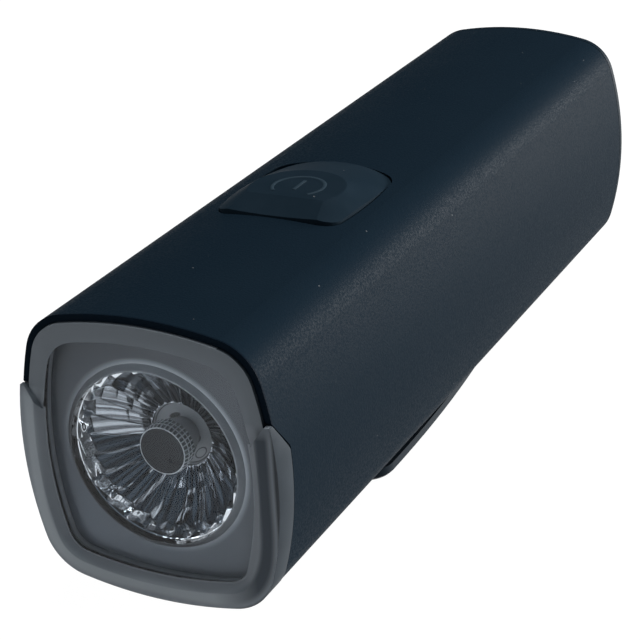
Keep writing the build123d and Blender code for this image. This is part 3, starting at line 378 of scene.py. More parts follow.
# %% Plain finishes
METAL = {"metallic": 1.0, "grain_mm": 5.0, "depth": 0.01}
NAVY = {"dark": (0.0043, 0.0095, 0.015), "light": (0.0052, 0.011, 0.017), "grain_mm": 5.0,
        "dust_share": 0.02}
RECIPES = {
    "seal_rubber": {"dark": (0.09, 0.1, 0.11), "light": (0.1, 0.11, 0.12), "roughness": 0.6},
    "centre_optic": {"dark": (0.012, 0.016, 0.021), "light": (0.018, 0.023, 0.029),
                     "roughness": 0.3, "grain_mm": 0.7, "mottle_mm": 1.5, "ior": 1.35},
    "emitter_dome": {"dark": (0.42, 0.36, 0.2), "light": (0.46, 0.4, 0.24), "roughness": 0.3},
    "thermal_sheet": {"dark": (0.28, 0.33, 0.42), "light": (0.33, 0.38, 0.46), "roughness": 0.6},
    "screw_steel": {"dark": (0.45, 0.45, 0.45), "light": (0.55, 0.55, 0.55), "roughness": 0.3,
                    "mottle_mm": 2.0, **METAL},
    "raw_aluminium": {"dark": (0.6, 0.61, 0.62), "light": (0.68, 0.69, 0.7), "roughness": 0.35,
                      "mottle_mm": 3.0, **METAL},
    "nickel_strip": {"dark": (0.52, 0.5, 0.46), "light": (0.6, 0.58, 0.53), "roughness": 0.28,
                     "mottle_mm": 2.0, **METAL},
    "black_screw": {"dark": (0.012, 0.012, 0.013), "light": (0.02, 0.02, 0.021), "roughness": 0.35,
                    "mottle_mm": 2.0, **METAL, "metallic": 0.8},
    "tray_plastic": {"dark": (0.009, 0.009, 0.01), "light": (0.013, 0.013, 0.014), "roughness": 0.5},
    "stem_plastic": {"dark": (0.55, 0.55, 0.52), "light": (0.6, 0.6, 0.57), "roughness": 0.45},
    "cell_sleeve": {"dark": (0.012, 0.07, 0.14), "light": (0.016, 0.08, 0.16), "roughness": 0.25,
                    "grain_mm": 1.0, "depth": 0.01},
    "pad_foam": {"dark": (0.014, 0.014, 0.016), "light": (0.022, 0.022, 0.025), "roughness": 0.85,
                 "grain_mm": 4.0, "depth": 0.15},
    "green_board": {"dark": (0.006, 0.05, 0.02), "light": (0.008, 0.065, 0.026), "roughness": 0.35},
    "component_black": {"dark": (0.008, 0.008, 0.009), "light": (0.012, 0.012, 0.013),
                        "roughness": 0.35},
    "red_insulation": {"dark": (0.35, 0.008, 0.008), "light": (0.4, 0.01, 0.01), "roughness": 0.4},
    "black_insulation": {"dark": (0.006, 0.006, 0.006), "light": (0.01, 0.01, 0.01),
                         "roughness": 0.4},
    "cap_plastic": {"roughness": 0.5, "depth": 0.015, "mottle_mm": 6.0, "ior": 1.1, **NAVY},
    "shoe_plastic": {"roughness": 0.45, "mottle_mm": 5.0, "ior": 1.15, **NAVY},
    "flap_rubber": {"dark": (0.0045, 0.007, 0.01), "light": (0.0055, 0.0085, 0.012),
                    "roughness": 0.6, "ior": 1.15},
    "button_rubber": {"dark": (0.0062, 0.0125, 0.0187), "light": (0.008, 0.0149, 0.0218),
                      "roughness": 0.55, "grain_mm": 5.0, "depth": 0.015, "mottle_mm": 5.0,
                      "ior": MATT_IOR, "dust_share": 0.06},
}
FINISHES = {name: plain_finish(name, **recipe) for name, recipe in RECIPES.items()}
print("finishes:", len(FINISHES))


# %% [markdown]
# The tube is extruded aluminium, blasted and anodised in a dark navy. The
# blasting leaves pits that catch the light as a fine sparkle in the highlight.
# A strong bump at this size would look like leather, so the pits mostly change
# the roughness from grain to grain. The cut front end is coloured darker than
# the rest of the tube.

# %% Anodised tube finish
PITS_PER_MM = 3.8
TUBE_MOTTLE = 9.0
ANODISED_DARK = (0.0038, 0.009, 0.0147)
ANODISED_LIGHT = (0.0048, 0.0103, 0.0162)
CUT_END = (0.002, 0.005, 0.009)
END_DEPTH = 0.3
TUBE_SPECK = 0.09
TUBE_DUST_SHARE = 0.03
TUBE_DUST = (0.08, 0.085, 0.09)


def tube_finish(name):
    """Blasted navy anodising with a darker cut end and a little dust."""
    material, tree, shader = new_material(name)
    height, mottle = grain(tree, PITS_PER_MM, TUBE_MOTTLE)
    deep = axes_of(tree, place_from_nose(tree))[1]
    cut = spread(tree, deep, END_DEPTH, END_DEPTH / 2)
    colour = mix_colour(tree, mottle, ANODISED_DARK, ANODISED_LIGHT)
    colour = mix_colour(tree, cut, colour, CUT_END)
    colour = mix_colour(tree, dust(tree, TUBE_SPECK, TUBE_DUST_SHARE), colour, TUBE_DUST)
    tree.links.new(colour, shader.inputs["Base Color"])
    tree.links.new(ramp(tree, height, (0.38, 0.4), (0.62, 0.64)), shader.inputs["Roughness"])
    shader.inputs["IOR"].default_value = MATT_IOR
    bump(tree, shader, height, strength=0.8, distance=0.04)
    return material


FINISHES["anodised_tube"] = tube_finish("anodised_tube")
print("tube pits per millimetre:", PITS_PER_MM)


# %% [markdown]
# The mask is a grey plastic plate behind the window. Round its opening the
# plate dips towards the bowl, and a ring of painted highlight stands for the
# light that this dip catches on the side towards the upper right. The plate's
# grey also changes from corner to corner as painted light and shade, darkest
# at the top left.

# %% Mask finish
DIP_RADIUS = 11.0
DIP_HALF = 0.5
DIP_SOFT = 0.5
DIP_PAINTED_HIGHLIGHT = (0.6, 0.64, 0.68)
# Painted light and shade: the plate's grey at each corner.
MASK_TOP_LEFT = (0.03, 0.038, 0.048)
MASK_TOP_RIGHT = (0.142, 0.154, 0.172)
MASK_FOOT_LEFT = (0.125, 0.15, 0.18)
MASK_FOOT_RIGHT = (0.11, 0.128, 0.147)
MASK_REACH = 0.8


def mask_finish(name):
    """Grey plastic with painted light and shade towards its corners, and a painted highlight ring round
    the bowl.
    """
    material, tree, shader = new_material(name)
    height, mottle = grain(tree, per_mm=6.0, mottle_mm=4.0)
    across, _, up = axes_of(tree, place_from_nose(tree))
    corner = spread(tree, maths(tree, "ADD", across, up), -HALF_WIDTH, HALF_WIDTH)
    side = spread(tree, across, -MASK_REACH * HALF_WIDTH, MASK_REACH * HALF_WIDTH)
    rise = spread(tree, up, -MASK_REACH * HALF_HEIGHT, MASK_REACH * HALF_HEIGHT)
    top = mix_colour(tree, side, MASK_TOP_LEFT, MASK_TOP_RIGHT)
    foot = mix_colour(tree, side, MASK_FOOT_LEFT, MASK_FOOT_RIGHT)
    colour = mix_colour(tree, rise, foot, top)
    # Painted highlight: a pale ring round the opening, on the upper right only.
    ring = line_mask(tree, distance_in(tree, across, up), DIP_RADIUS, DIP_HALF, DIP_SOFT)
    colour = mix_colour(tree, maths(tree, "MULTIPLY", ring, corner), colour, DIP_PAINTED_HIGHLIGHT)
    tree.links.new(colour, shader.inputs["Base Color"])
    shader.inputs["Roughness"].default_value = 0.6
    bump(tree, shader, maths(tree, "ADD", height, mottle), strength=0.2, distance=0.02)
    return material


FINISHES["mask_plastic"] = mask_finish("mask_plastic")
print("mask dips at", DIP_RADIUS, "mm from the axis")


# %% [markdown]
# The emitter board shows at the bottom of the bowl as a grey disc. A printed
# ring runs round it near the bowl's floor, and a solder mark and two loops of
# track lie beside the column. They are flat print, so the finish draws them,
# and a thin black ring just inside the printed one is painted shadow. Each oval
# is a place across and up, a half length, a half width and a tilt.

# %% Emitter board finish
PRINT_RING = 3.95
# A thin black ring of painted shadow lies at the next radius, just inside the print.
SHADOW_RING_RADIUS = 3.75
PRINT_HALF = 0.06
PRINT_SOFT = 0.05
LEAF = (-1.0, 2.0, 0.85, 0.35, 25)
LOOPS = ((1.25, -0.75, 1.0, 0.5, 40), (2.05, -2.2, 0.95, 0.45, 45))
LOOP_HALF = 0.12
LOOP_SOFT = 0.08
BOARD_DARK = (0.36, 0.385, 0.41)
BOARD_LIGHT = (0.46, 0.48, 0.5)
PRINT_WHITE = (0.9, 0.92, 0.95)
# Black for the solder mark and for the painted shadow ring.
BLACK_PRINT_AND_SHADOW = (0.05, 0.055, 0.06)
TRACK_GREY = (0.08, 0.09, 0.1)


def oval(tree, across, up, shape):
    """1 on the edge of a tilted oval: a distance in shares of its half length and width."""
    x, z, half_long, half_wide, tilt = shape
    flat = add_node(tree, "ShaderNodeCombineXYZ", X=across, Y=up)
    turned = tree.nodes.new("ShaderNodeMapping")
    turned.vector_type = "TEXTURE"
    turned.inputs["Location"].default_value = (x, z, 0)
    turned.inputs["Rotation"].default_value = (0, 0, math.radians(tilt))
    turned.inputs["Scale"].default_value = (half_long, half_wide, 1)
    tree.links.new(flat.outputs[0], turned.inputs["Vector"])
    size = tree.nodes.new("ShaderNodeVectorMath")
    size.operation = "LENGTH"
    tree.links.new(turned.outputs[0], size.inputs[0])
    return size.outputs["Value"]


def board_finish(name):
    """Grey board with a printed ring, a painted shadow ring, a solder mark and two loops of track."""
    material, tree, shader = new_material(name)
    height, mottle = grain(tree, per_mm=5.0, mottle_mm=2.0)
    across, _, up = axes_of(tree, place_from_nose(tree))
    away = distance_in(tree, across, up)
    colour = mix_colour(tree, mottle, BOARD_DARK, BOARD_LIGHT)
    # The first ring is white print, the second is black painted shadow.
    for radius, shade in ((PRINT_RING, PRINT_WHITE), (SHADOW_RING_RADIUS, BLACK_PRINT_AND_SHADOW)):
        ring = line_mask(tree, away, radius, PRINT_HALF, PRINT_SOFT)
        colour = mix_colour(tree, ring, colour, shade)
    leaf = spread(tree, oval(tree, across, up, LEAF), 1.1, 0.8)
    colour = mix_colour(tree, leaf, colour, BLACK_PRINT_AND_SHADOW)
    for loop in LOOPS:
        line = line_mask(tree, oval(tree, across, up, loop), 1.0, LOOP_HALF, LOOP_SOFT)
        colour = mix_colour(tree, line, colour, TRACK_GREY)
    tree.links.new(colour, shader.inputs["Base Color"])
    shader.inputs["Roughness"].default_value = 0.4
    bump(tree, shader, height, strength=0.3, distance=0.02)
    return material


FINISHES["white_board"] = board_finish("white_board")
print("board print: ring at", PRINT_RING, "mm, loops", len(LOOPS))


# %% [markdown]
# The bowl is plastic with a vacuum-metallised skin. Its flutes are mirrors with
# fine streaks that run down the wall, and the facets under the rim are brighter
# and a little crumpled. The front of the wall just inside the rim is painted near
# black as shade. The outer cone of the rim is satin and not metallic, with
# painted shade on its lower left turning to a painted highlight towards the upper
# right. Distance from the axis and depth, read from the place in space, tell the
# zones apart.

# %% Metallised bowl finish
RIM_INNER = 10.37
WALL_FOOT = 1.95
FACET_FOOT = 3.45
ZONE_STEP = 0.1
STREAKS = 15.0
STREAK_HEIGHT = 0.22
CRUMPLE_PER_MM = 0.7
CRUMPLE_HEIGHT = 3.0
FLUTE_DARK = (0.12, 0.13, 0.145)
FLUTE_LIGHT = (0.5, 0.53, 0.56)
FACET_SILVER = (0.95, 0.96, 0.97)
RIM_PAINTED_SHADE = (0.03, 0.035, 0.04)
CONE_PAINTED_HIGHLIGHT = (0.3, 0.325, 0.35)


def bowl_finish(name):
    """Mirror flutes with streaks, crumpled facets, painted shade inside the rim and a satin outer cone
    painted from shade to highlight.
    """
    material, tree, shader = new_material(name)
    place = place_from_nose(tree)
    across, deep, up = axes_of(tree, place)
    outer = maths(tree, "GREATER_THAN", distance_in(tree, across, up), RIM_INNER)
    bowl = spread(tree, deep, FACET_FOOT, FACET_FOOT + ZONE_STEP)
    wall = spread(tree, deep, WALL_FOOT, WALL_FOOT - ZONE_STEP)
    streaks = add_node(tree, "ShaderNodeTexNoise", Scale=STREAKS, Detail=1.0)
    streaks.noise_dimensions = "1D"
    tree.links.new(maths(tree, "ARCTAN2", across, up), streaks.inputs["W"])
    flute = ramp(tree, streaks.outputs["Fac"], (0.4, FLUTE_DARK), (0.62, FLUTE_LIGHT))
    colour = mix_colour(tree, bowl, FACET_SILVER, flute)
    # Painted shade: the front of the wall inside the rim is near black.
    colour = mix_colour(tree, wall, colour, RIM_PAINTED_SHADE)
    # Painted shade turning to a painted highlight across the outer cone, lower left to upper right.
    corner = spread(tree, maths(tree, "ADD", across, up), -HALF_WIDTH / 2, HALF_WIDTH / 2)
    colour = mix_colour(tree, outer, colour, mix_colour(tree, corner, RIM_PAINTED_SHADE, CONE_PAINTED_HIGHLIGHT))
    tree.links.new(colour, shader.inputs["Base Color"])
    tree.links.new(ramp(tree, outer, (0.0, 1.0), (1.0, 0.0)), shader.inputs["Metallic"])
    tree.links.new(ramp(tree, outer, (0.0, 0.07), (1.0, 0.5)), shader.inputs["Roughness"])
    crumple = add_node(tree, "ShaderNodeTexNoise", Scale=CRUMPLE_PER_MM, Detail=0.0, Vector=place)
    folds = maths(tree, "MULTIPLY", crumple.outputs["Fac"], CRUMPLE_HEIGHT)
    folds = maths(tree, "MULTIPLY", folds, ramp(tree, bowl, (0.0, 1.0), (1.0, 0.0)))
    fine = maths(tree, "MULTIPLY", streaks.outputs["Fac"], STREAK_HEIGHT)
    bump(tree, shader, maths(tree, "ADD", fine, folds), strength=1.0, distance=0.1)
    return material


FINISHES["metallised_bowl"] = bowl_finish("metallised_bowl")
print("bowl: facets down to", FACET_FOOT, "mm behind the front edge")


# %% [markdown]
# The lens is one smoky moulding. Its window is polished and clear, while the
# bumper that wraps its sides and foot is frosted. Its greys change by zone:
# painted light on the ridge at the left and foot and on the skirt behind the
# window, painted shade on the ridge and outer wall at the right, a slightly
# darker grey on the inner bevel and a darker one on the ring above the bumper.
# The outline of the lens is nearly a rounded square, so the fourth root of the
# summed fourth powers of the place across and up tells how far out a spot lies,
# as a share of the tube's outline.

# %% Clear and frosted finishes
LENS_GRAIN = 0.6
LENS_MOTTLE = 8.0
CLEAR_TINT = (0.84, 0.87, 0.9)
CLEAR_DEEPER = 0.96
RIDGE_SHARE = 0.905
RIDGE_HALF = 0.045
RIDGE_SOFT = 0.025
BEVEL_SHARE = 0.81
BEVEL_HALF = 0.04
BEVEL_SOFT = 0.02
WALL_SHARE = 0.965
SKIRT_SHARE = 0.94
SHARE_STEP = 0.02
RIGHT_FROM = 0.45
RIGHT_FULL = 0.8
BUMPER_TOP = 7.1
BUMPER_FADE = 1.5
SKIRT_FRONT = 0.9
SKIRT_STEP = 0.2
RIDGE_PAINTED_LIGHT = (0.285, 0.315, 0.34)
RIDGE_PAINTED_SHADE = (0.025, 0.036, 0.05)
RING_GREY = (0.135, 0.155, 0.175)
BUMPER_GREY = (0.195, 0.22, 0.245)
BEVEL_GREY = (0.17, 0.19, 0.212)
WALL_PAINTED_SHADE = (0.025, 0.032, 0.04)
SKIRT_PAINTED_LIGHT = (0.5, 0.54, 0.58)


def clear_finish(name):
    """Moulded plastic that lets light through, with a faint haze and ripple."""
    material, tree, shader = new_material(name)
    height, mottle = grain(tree, LENS_GRAIN, LENS_MOTTLE)
    shade = mix_colour(tree, mottle, CLEAR_TINT, tuple(v * CLEAR_DEEPER for v in CLEAR_TINT))
    tree.links.new(shade, shader.inputs["Base Color"])
    shader.inputs["Transmission Weight"].default_value = 1.0
    shader.inputs["Metallic"].default_value = 0.0
    shader.inputs["IOR"].default_value = 1.2
    shader.inputs["Roughness"].default_value = 0.0
    bump(tree, shader, height, strength=0.02, distance=0.01)
    return material


def outline_share(tree, across, up):
    """How far out a spot lies in the rounded square: 0 on the axis, 1 on the tube's outline."""
    wide = maths(tree, "MULTIPLY", across, 1 / HALF_WIDTH)
    tall = maths(tree, "MULTIPLY", up, 1 / HALF_HEIGHT)
    wide = maths(tree, "MULTIPLY", wide, wide)
    tall = maths(tree, "MULTIPLY", tall, tall)
    return maths(tree, "SQRT", distance_in(tree, wide, tall))


def frosted_finish(name):
    """Frosted plastic with painted light on the left ridge, foot and skirt, and painted shade on the
    right ridge and outer wall.
    """
    material, tree, shader = new_material(name)
    height, _ = grain(tree, LENS_GRAIN, LENS_MOTTLE)
    across, deep, up = axes_of(tree, place_from_nose(tree))
    share = outline_share(tree, across, up)
    low = spread(tree, up, BUMPER_TOP, BUMPER_TOP - BUMPER_FADE)
    right_side = spread(tree, across, HALF_WIDTH * RIGHT_FROM, HALF_WIDTH * RIGHT_FULL)
    ridge = maths(tree, "MULTIPLY", line_mask(tree, share, RIDGE_SHARE, RIDGE_HALF, RIDGE_SOFT), low)
    bevel = maths(tree, "MULTIPLY", line_mask(tree, share, BEVEL_SHARE, BEVEL_HALF, BEVEL_SOFT), low)
    wall = maths(tree, "MULTIPLY", spread(tree, share, WALL_SHARE, WALL_SHARE + SHARE_STEP), right_side)
    skirt = maths(tree, "MULTIPLY", spread(tree, deep, SKIRT_FRONT, SKIRT_FRONT + SKIRT_STEP),
                  spread(tree, share, SKIRT_SHARE, SKIRT_SHARE - SHARE_STEP))
    # Painted light and shade: the ridge, outer wall and skirt take greys for how the light falls on
    # them.
    shade = mix_colour(tree, low, RING_GREY, BUMPER_GREY)
    shade = mix_colour(tree, ridge, shade, mix_colour(tree, right_side, RIDGE_PAINTED_LIGHT, RIDGE_PAINTED_SHADE))
    shade = mix_colour(tree, bevel, shade, BEVEL_GREY)
    shade = mix_colour(tree, wall, shade, WALL_PAINTED_SHADE)
    shade = mix_colour(tree, skirt, shade, SKIRT_PAINTED_LIGHT)
    tree.links.new(shade, shader.inputs["Base Color"])
    shader.inputs["Transmission Weight"].default_value = 0.3
    shader.inputs["Metallic"].default_value = 0.0
    shader.inputs["IOR"].default_value = 1.33
    shader.inputs["Roughness"].default_value = 0.5
    bump(tree, shader, height, strength=0.05, distance=0.02)
    return material


FINISHES["clear_lens"] = clear_finish("clear_lens")
FROSTED = frosted_finish("frosted_lens")
# Painted shade: a dark finish for the bumper's outer wall on the right.
SHADED_WALL_FINISH = plain_finish("right_wall_shade", (0.024, 0.03, 0.036), (0.03, 0.037, 0.044), 0.5,
                          grain_mm=4.0, depth=0.01, ior=1.1)
print("lens finishes ready")


# %% [markdown]
# Every finish now goes onto the nodes that the record gives it to. The pieces
# that are modelled further down are given their finishes where they are built.

# %% Paint the nodes
for part in frame["record"]["subparts"]:
    piece = NODES[part["node"]]
    piece.data.materials.clear()
    piece.data.materials.append(FINISHES[part["material_slot"]])


# %% [markdown]
# Some pieces need softer edges or finer relief than the imported model holds.
# They are built from a joined copy of the node, or from a fresh primitive, and
# take the node's place. The helpers below open a piece for editing, pick faces
# by a rule, and hand the finished piece over to its body.

# %% Piece helpers
JOIN_REACH = 0.002
FLAT_ANGLE = 0.8


def only(piece):
    """Selects one object and makes it active, out of edit mode."""
    if bpy.context.mode != "OBJECT":
        bpy.ops.object.mode_set(mode="OBJECT")
    bpy.ops.object.select_all(action="DESELECT")
    piece.select_set(True)
    bpy.context.view_layer.objects.active = piece


def joined_copy(node, name):
    """A copy of a node's mesh with split corners joined and flat faces made whole."""
    piece = bpy.data.objects.new(name, NODES[node].data.copy())
    bpy.context.scene.collection.objects.link(piece)
    only(piece)
    piece.data.materials.clear()
    bpy.ops.object.mode_set(mode="EDIT")
    bpy.ops.mesh.select_all(action="SELECT")
    bpy.ops.mesh.remove_doubles(threshold=JOIN_REACH * MM)
    bpy.ops.mesh.dissolve_limited(angle_limit=math.radians(FLAT_ANGLE))
    bpy.ops.mesh.normals_make_consistent(inside=False)
    bpy.ops.object.mode_set(mode="OBJECT")
    return piece


def clear_picks(piece, kind):
    """Leaves nothing of a piece picked, ready to pick faces or corners."""
    only(piece)
    bpy.ops.object.mode_set(mode="EDIT")
    bpy.ops.mesh.select_mode(type=kind)
    bpy.ops.mesh.select_all(action="DESELECT")
    bpy.ops.object.mode_set(mode="OBJECT")


def pick_faces(piece, rule):
    """Selects the faces whose centre and normal pass a rule, and nothing else."""
    clear_picks(piece, "FACE")
    count = 0
    for face in piece.data.polygons:
        face.select = rule(face.center, face.normal)
        count += face.select
    bpy.ops.object.mode_set(mode="EDIT")
    return count


def give_material(piece, index):
    """Gives the picked faces one of the piece's materials."""
    piece.active_material_index = index
    bpy.ops.object.material_slot_assign()


def soften(piece, width, segments, angle):
    """Rounds the piece's sharp edges and smooths its shading."""
    only(piece)
    edge = piece.modifiers.new("edge", "BEVEL")
    edge.width = width * MM
    edge.segments = segments
    edge.limit_method = "ANGLE"
    edge.angle_limit = math.radians(angle)
    bpy.ops.object.modifier_apply(modifier=edge.name)
    bpy.ops.object.shade_smooth_by_angle(angle=math.radians(angle))


def hand_over(piece, body, slot, *nodes):
    """Gives a finished piece its body and hides the nodes that it replaces; the slot is not used."""
    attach(piece, body)
    if nodes:
        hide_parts(*nodes)
    print(piece.name, "faces", len(piece.data.polygons))


def from_axis(place):
    """Distance of a place from the line through the middle of the light."""
    return math.hypot(place.x, place.z - AXIS * MM) / MM


def behind_front(place):
    """Depth of a place behind the tube's front edge, in millimetres."""
    return place.y / MM - FRONT


print("piece helpers ready")


# %% [markdown]
# The lens comes first. On a real moulding every edge of the bumper has a small
# radius that the mould needs, and the soft bands along the rim come partly from
# it and partly from painted light and shade in the frosted finish. Only the
# middle of its flat front is polished: an inset of that face marks the window
# off, and its upper half is drawn in further, as the ring there hides the skirt
# that the lens stands on. Everything round the window is frosted, and the
# bumper's outer wall on the right gets a dark finish of painted shade: a face
# belongs to it if it looks to the right, not much forwards or back, and lies far
# enough out.

# %% Front lens
WINDOW_BACK = 1.2
WINDOW_RING = 0.1
WINDOW_MIDDLE = 4.2
RING_FOOT = 5.8
RING_DRAW = 0.873
LENS_EDGE = 0.25
LENS_STEPS = 3
LENS_SHARP = 25
RIGHT_WALL_TURN = 0.1
RIGHT_WALL_FORWARD = 0.6
RIGHT_WALL_FROM = 0.6
FLAT = 0.999
CLEAR, FROST, SHADE_SLOT = range(3)


def make_lens():
    """The lens with rounded edges, a clear window and a frosted ring and bumper."""
    piece = joined_copy("front_lens", "front_lens_moulding")
    for material in (FINISHES["clear_lens"], FROSTED, SHADED_WALL_FINISH):
        piece.data.materials.append(material)
    soften(piece, LENS_EDGE, LENS_STEPS, LENS_SHARP)
    pick_faces(piece, lambda centre, normal: True)
    give_material(piece, FROST)

    def right_wall(centre, normal):
        sideways = normal.x > RIGHT_WALL_TURN and abs(normal.y) < RIGHT_WALL_FORWARD
        return sideways and centre.x > RIGHT_WALL_FROM * HALF_WIDTH * MM

    print("wall faces", pick_faces(piece, right_wall))
    give_material(piece, SHADE_SLOT)

    def in_window(centre):
        return behind_front(centre) < WINDOW_BACK and from_axis(centre) < WINDOW_MIDDLE

    count = pick_faces(piece, lambda centre, normal: normal.y < -FLAT and in_window(centre))
    bpy.ops.mesh.inset(thickness=WINDOW_RING * MM, depth=0)
    give_material(piece, CLEAR)
    bpy.ops.object.mode_set(mode="OBJECT")
    corners = [corner for face in piece.data.polygons if face.select for corner in face.vertices]
    clear_picks(piece, "VERT")
    for corner in corners:
        point = piece.data.vertices[corner]
        point.select = point.co.z > (AXIS + RING_FOOT) * MM
    bpy.ops.object.mode_set(mode="EDIT")
    bpy.ops.transform.resize(value=(RING_DRAW, 1, RING_DRAW), center_override=NOSE)
    count += pick_faces(piece, lambda centre, normal: normal.y > FLAT and in_window(centre))
    give_material(piece, CLEAR)
    bpy.ops.object.mode_set(mode="OBJECT")
    print("window faces", count, "with", len(corners), "corners in front")
    hand_over(piece, "body", "clear_lens", "front_lens")


make_lens()


# %% [markdown]
# The centre lens is a short column over the emitter. Its front is a plain
# polished disc, and three rows of small raised bricks round its shoulder spread
# the light into the bowl. It grows from one disc: a cylinder is drawn out row
# by row to its waist, and its side faces are cut into bricks by an individual
# inset with a little height.

# %% Centre lens
BRICKS_ROUND = 36
BRICK_ROWS = 3
BRICK_RELIEF = 0.12
BRICK_JOINT = 0.07
BRICK_RISE = 0.9
FACE_SHARE = 0.9
ROW_SHARE = 0.14
ROW_TAPER = 0.99
WAIST_TAPER = 0.72
SHOULDER_SHARE = 0.97
DISC_RIM = 0.12
DISC_SLOPE = 0.2
DISC_SINK = 0.06
COLUMN_SHARP = 20
END_ON = 0.9
SIDE_ON = 0.8
COLUMN_FINE = {"grain_mm": 3.0, "depth": 0.004}
JOINTS, WAIST, BRICKS = range(1, 4)

# Painted reflection: the pale brick sides and joints stand for light reflected inside the optic.
BRICK_PAINTED_REFLECTION = plain_finish("brick_painted_reflection", (0.6, 0.63, 0.66), (0.7, 0.73, 0.76), 0.3, **COLUMN_FINE)
BRICK_TOP = plain_finish("brick_top", (0.1, 0.11, 0.12), (0.15, 0.16, 0.17), 0.2, **COLUMN_FINE)
CLEAR_WAIST = plain_finish("clear_waist", (0.3, 0.32, 0.34), (0.36, 0.38, 0.4), 0.15, **COLUMN_FINE)


def grow(distance, taper, back):
    """Draws the picked faces out backwards and makes them smaller round the axis."""
    bpy.ops.mesh.extrude_region_move(TRANSFORM_OT_translate={"value": (0, distance * MM, 0)})
    bpy.ops.transform.resize(value=(taper, 1, taper), center_override=spot(0, back, 0))


def make_centre_lens():
    """The column with a disc, a band of bricks and a waist."""
    low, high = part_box("centre_lens")
    front = low.y / MM - FRONT
    back = high.y / MM - FRONT
    radius = (high.x - low.x) / 2 / MM
    face_radius = radius * FACE_SHARE
    row = (back - front) * ROW_SHARE
    band = BRICK_ROWS * row
    bpy.ops.object.select_all(action="DESELECT")
    bpy.ops.mesh.primitive_cylinder_add(
        vertices=BRICKS_ROUND, radius=face_radius * MM, depth=row * MM,
        location=spot(0, front + row / 2, 0), rotation=(math.pi / 2, 0, 0), end_fill_type="NGON")
    piece = bpy.context.object
    piece.name = "centre_lens_column"
    bpy.ops.object.transform_apply(location=True, rotation=True, scale=True)
    pick_faces(piece, lambda centre, normal: normal.y > END_ON)
    wide = (radius - BRICK_RELIEF) / face_radius
    bpy.ops.transform.resize(value=(wide, 1, wide), center_override=spot(0, front + row, 0))
    for count in range(1, BRICK_ROWS):
        grow(row, ROW_TAPER, front + (count + 1) * row)
    grow(back - front - band, WAIST_TAPER, back)
    pick_faces(piece, lambda centre, normal: normal.y < -END_ON)
    bpy.ops.mesh.inset(thickness=DISC_RIM * MM, depth=0)
    bpy.ops.mesh.inset(thickness=DISC_SLOPE * MM, depth=-DISC_SINK * MM)

    def shoulder(centre, normal):
        in_band = behind_front(centre) < front + band
        return abs(normal.y) < SIDE_ON and in_band and from_axis(centre) > face_radius * SHOULDER_SHARE

    for material in (FINISHES["centre_optic"], BRICK_PAINTED_REFLECTION, CLEAR_WAIST, BRICK_TOP):
        piece.data.materials.append(material)
    pick_faces(piece, lambda centre, normal: behind_front(centre) > front + band)
    give_material(piece, WAIST)
    print("bricks", pick_faces(piece, shoulder))
    give_material(piece, JOINTS)
    bpy.ops.mesh.inset(thickness=BRICK_JOINT * MM, depth=BRICK_RELIEF * BRICK_RISE * MM,
                       use_individual=True)
    give_material(piece, BRICKS)
    bpy.ops.object.mode_set(mode="OBJECT")
    bpy.ops.object.shade_smooth_by_angle(angle=math.radians(COLUMN_SHARP))
    hand_over(piece, "body", "centre_optic", "centre_lens")


make_centre_lens()


# %% [markdown]
# The power mark is moulded on the flat disc of the pad: a ring that is open
# towards the front, and a short bar in its middle. Both stand less than a tenth
# of a millimetre proud, and thumbs wear them a little paler than the pad. The
# ring is a torus with its gap cut out and its ends closed, pressed flat, and
# the bar is a block with rounded edges.

# %% Power mark
BUTTON_BODY = "button"
MARK_BACK = 38.4
MARK_RADIUS = 3.2
MARK_LINE = 0.22
MARK_GAP = 0.8
MARK_PROUD = 0.35
MARK_STEPS = 96
MARK_SIDES = 12
MARK_SHARP = 35
BAR_BACK = 38.65
BAR_HALF = 1.6
BAR_EDGE = 0.6
BAR_STEPS = 2
BAR_SHARP = 30
MARK_RUBBER = plain_finish("mark_rubber", (0.014, 0.025, 0.034), (0.018, 0.03, 0.04), 0.6,
                           grain_mm=5.0, depth=0.01, mottle_mm=2.0, ior=1.1)


def on_pad(back):
    """A place on the middle line of the button's flat disc."""
    place = spot(0, back, 0)
    place.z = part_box("button_pad")[1].z
    return place


def make_mark_ring():
    """A flattened ring with closed ends and a gap towards the front."""
    middle = on_pad(MARK_BACK)
    bpy.ops.object.select_all(action="DESELECT")
    bpy.ops.mesh.primitive_torus_add(
        major_segments=MARK_STEPS, minor_segments=MARK_SIDES, major_radius=MARK_RADIUS * MM,
        minor_radius=MARK_LINE * MM, location=middle)
    ring = bpy.context.object
    bpy.ops.object.transform_apply(location=True, rotation=True, scale=True)

    def gap(centre, normal):
        return abs(math.atan2(centre.x - middle.x, middle.y - centre.y)) < MARK_GAP

    pick_faces(ring, gap)
    bpy.ops.mesh.delete(type="FACE")
    bpy.ops.mesh.select_all(action="SELECT")
    bpy.ops.mesh.region_to_loop()
    bpy.ops.mesh.fill_holes(sides=0)
    bpy.ops.mesh.select_all(action="SELECT")
    bpy.ops.transform.resize(value=(1, 1, MARK_PROUD), center_override=middle)
    bpy.ops.mesh.normals_make_consistent(inside=False)
    bpy.ops.object.mode_set(mode="OBJECT")
    return ring


def make_mark_bar():
    """A low bar with rounded edges."""
    bpy.ops.object.select_all(action="DESELECT")
    bpy.ops.mesh.primitive_cube_add(size=2 * MM, location=on_pad(BAR_BACK))
    bar = bpy.context.object
    bpy.ops.transform.resize(value=(MARK_LINE, BAR_HALF, MARK_LINE * MARK_PROUD))
    bpy.ops.object.transform_apply(location=True, rotation=True, scale=True)
    soften(bar, MARK_LINE * MARK_PROUD * BAR_EDGE, BAR_STEPS, BAR_SHARP)


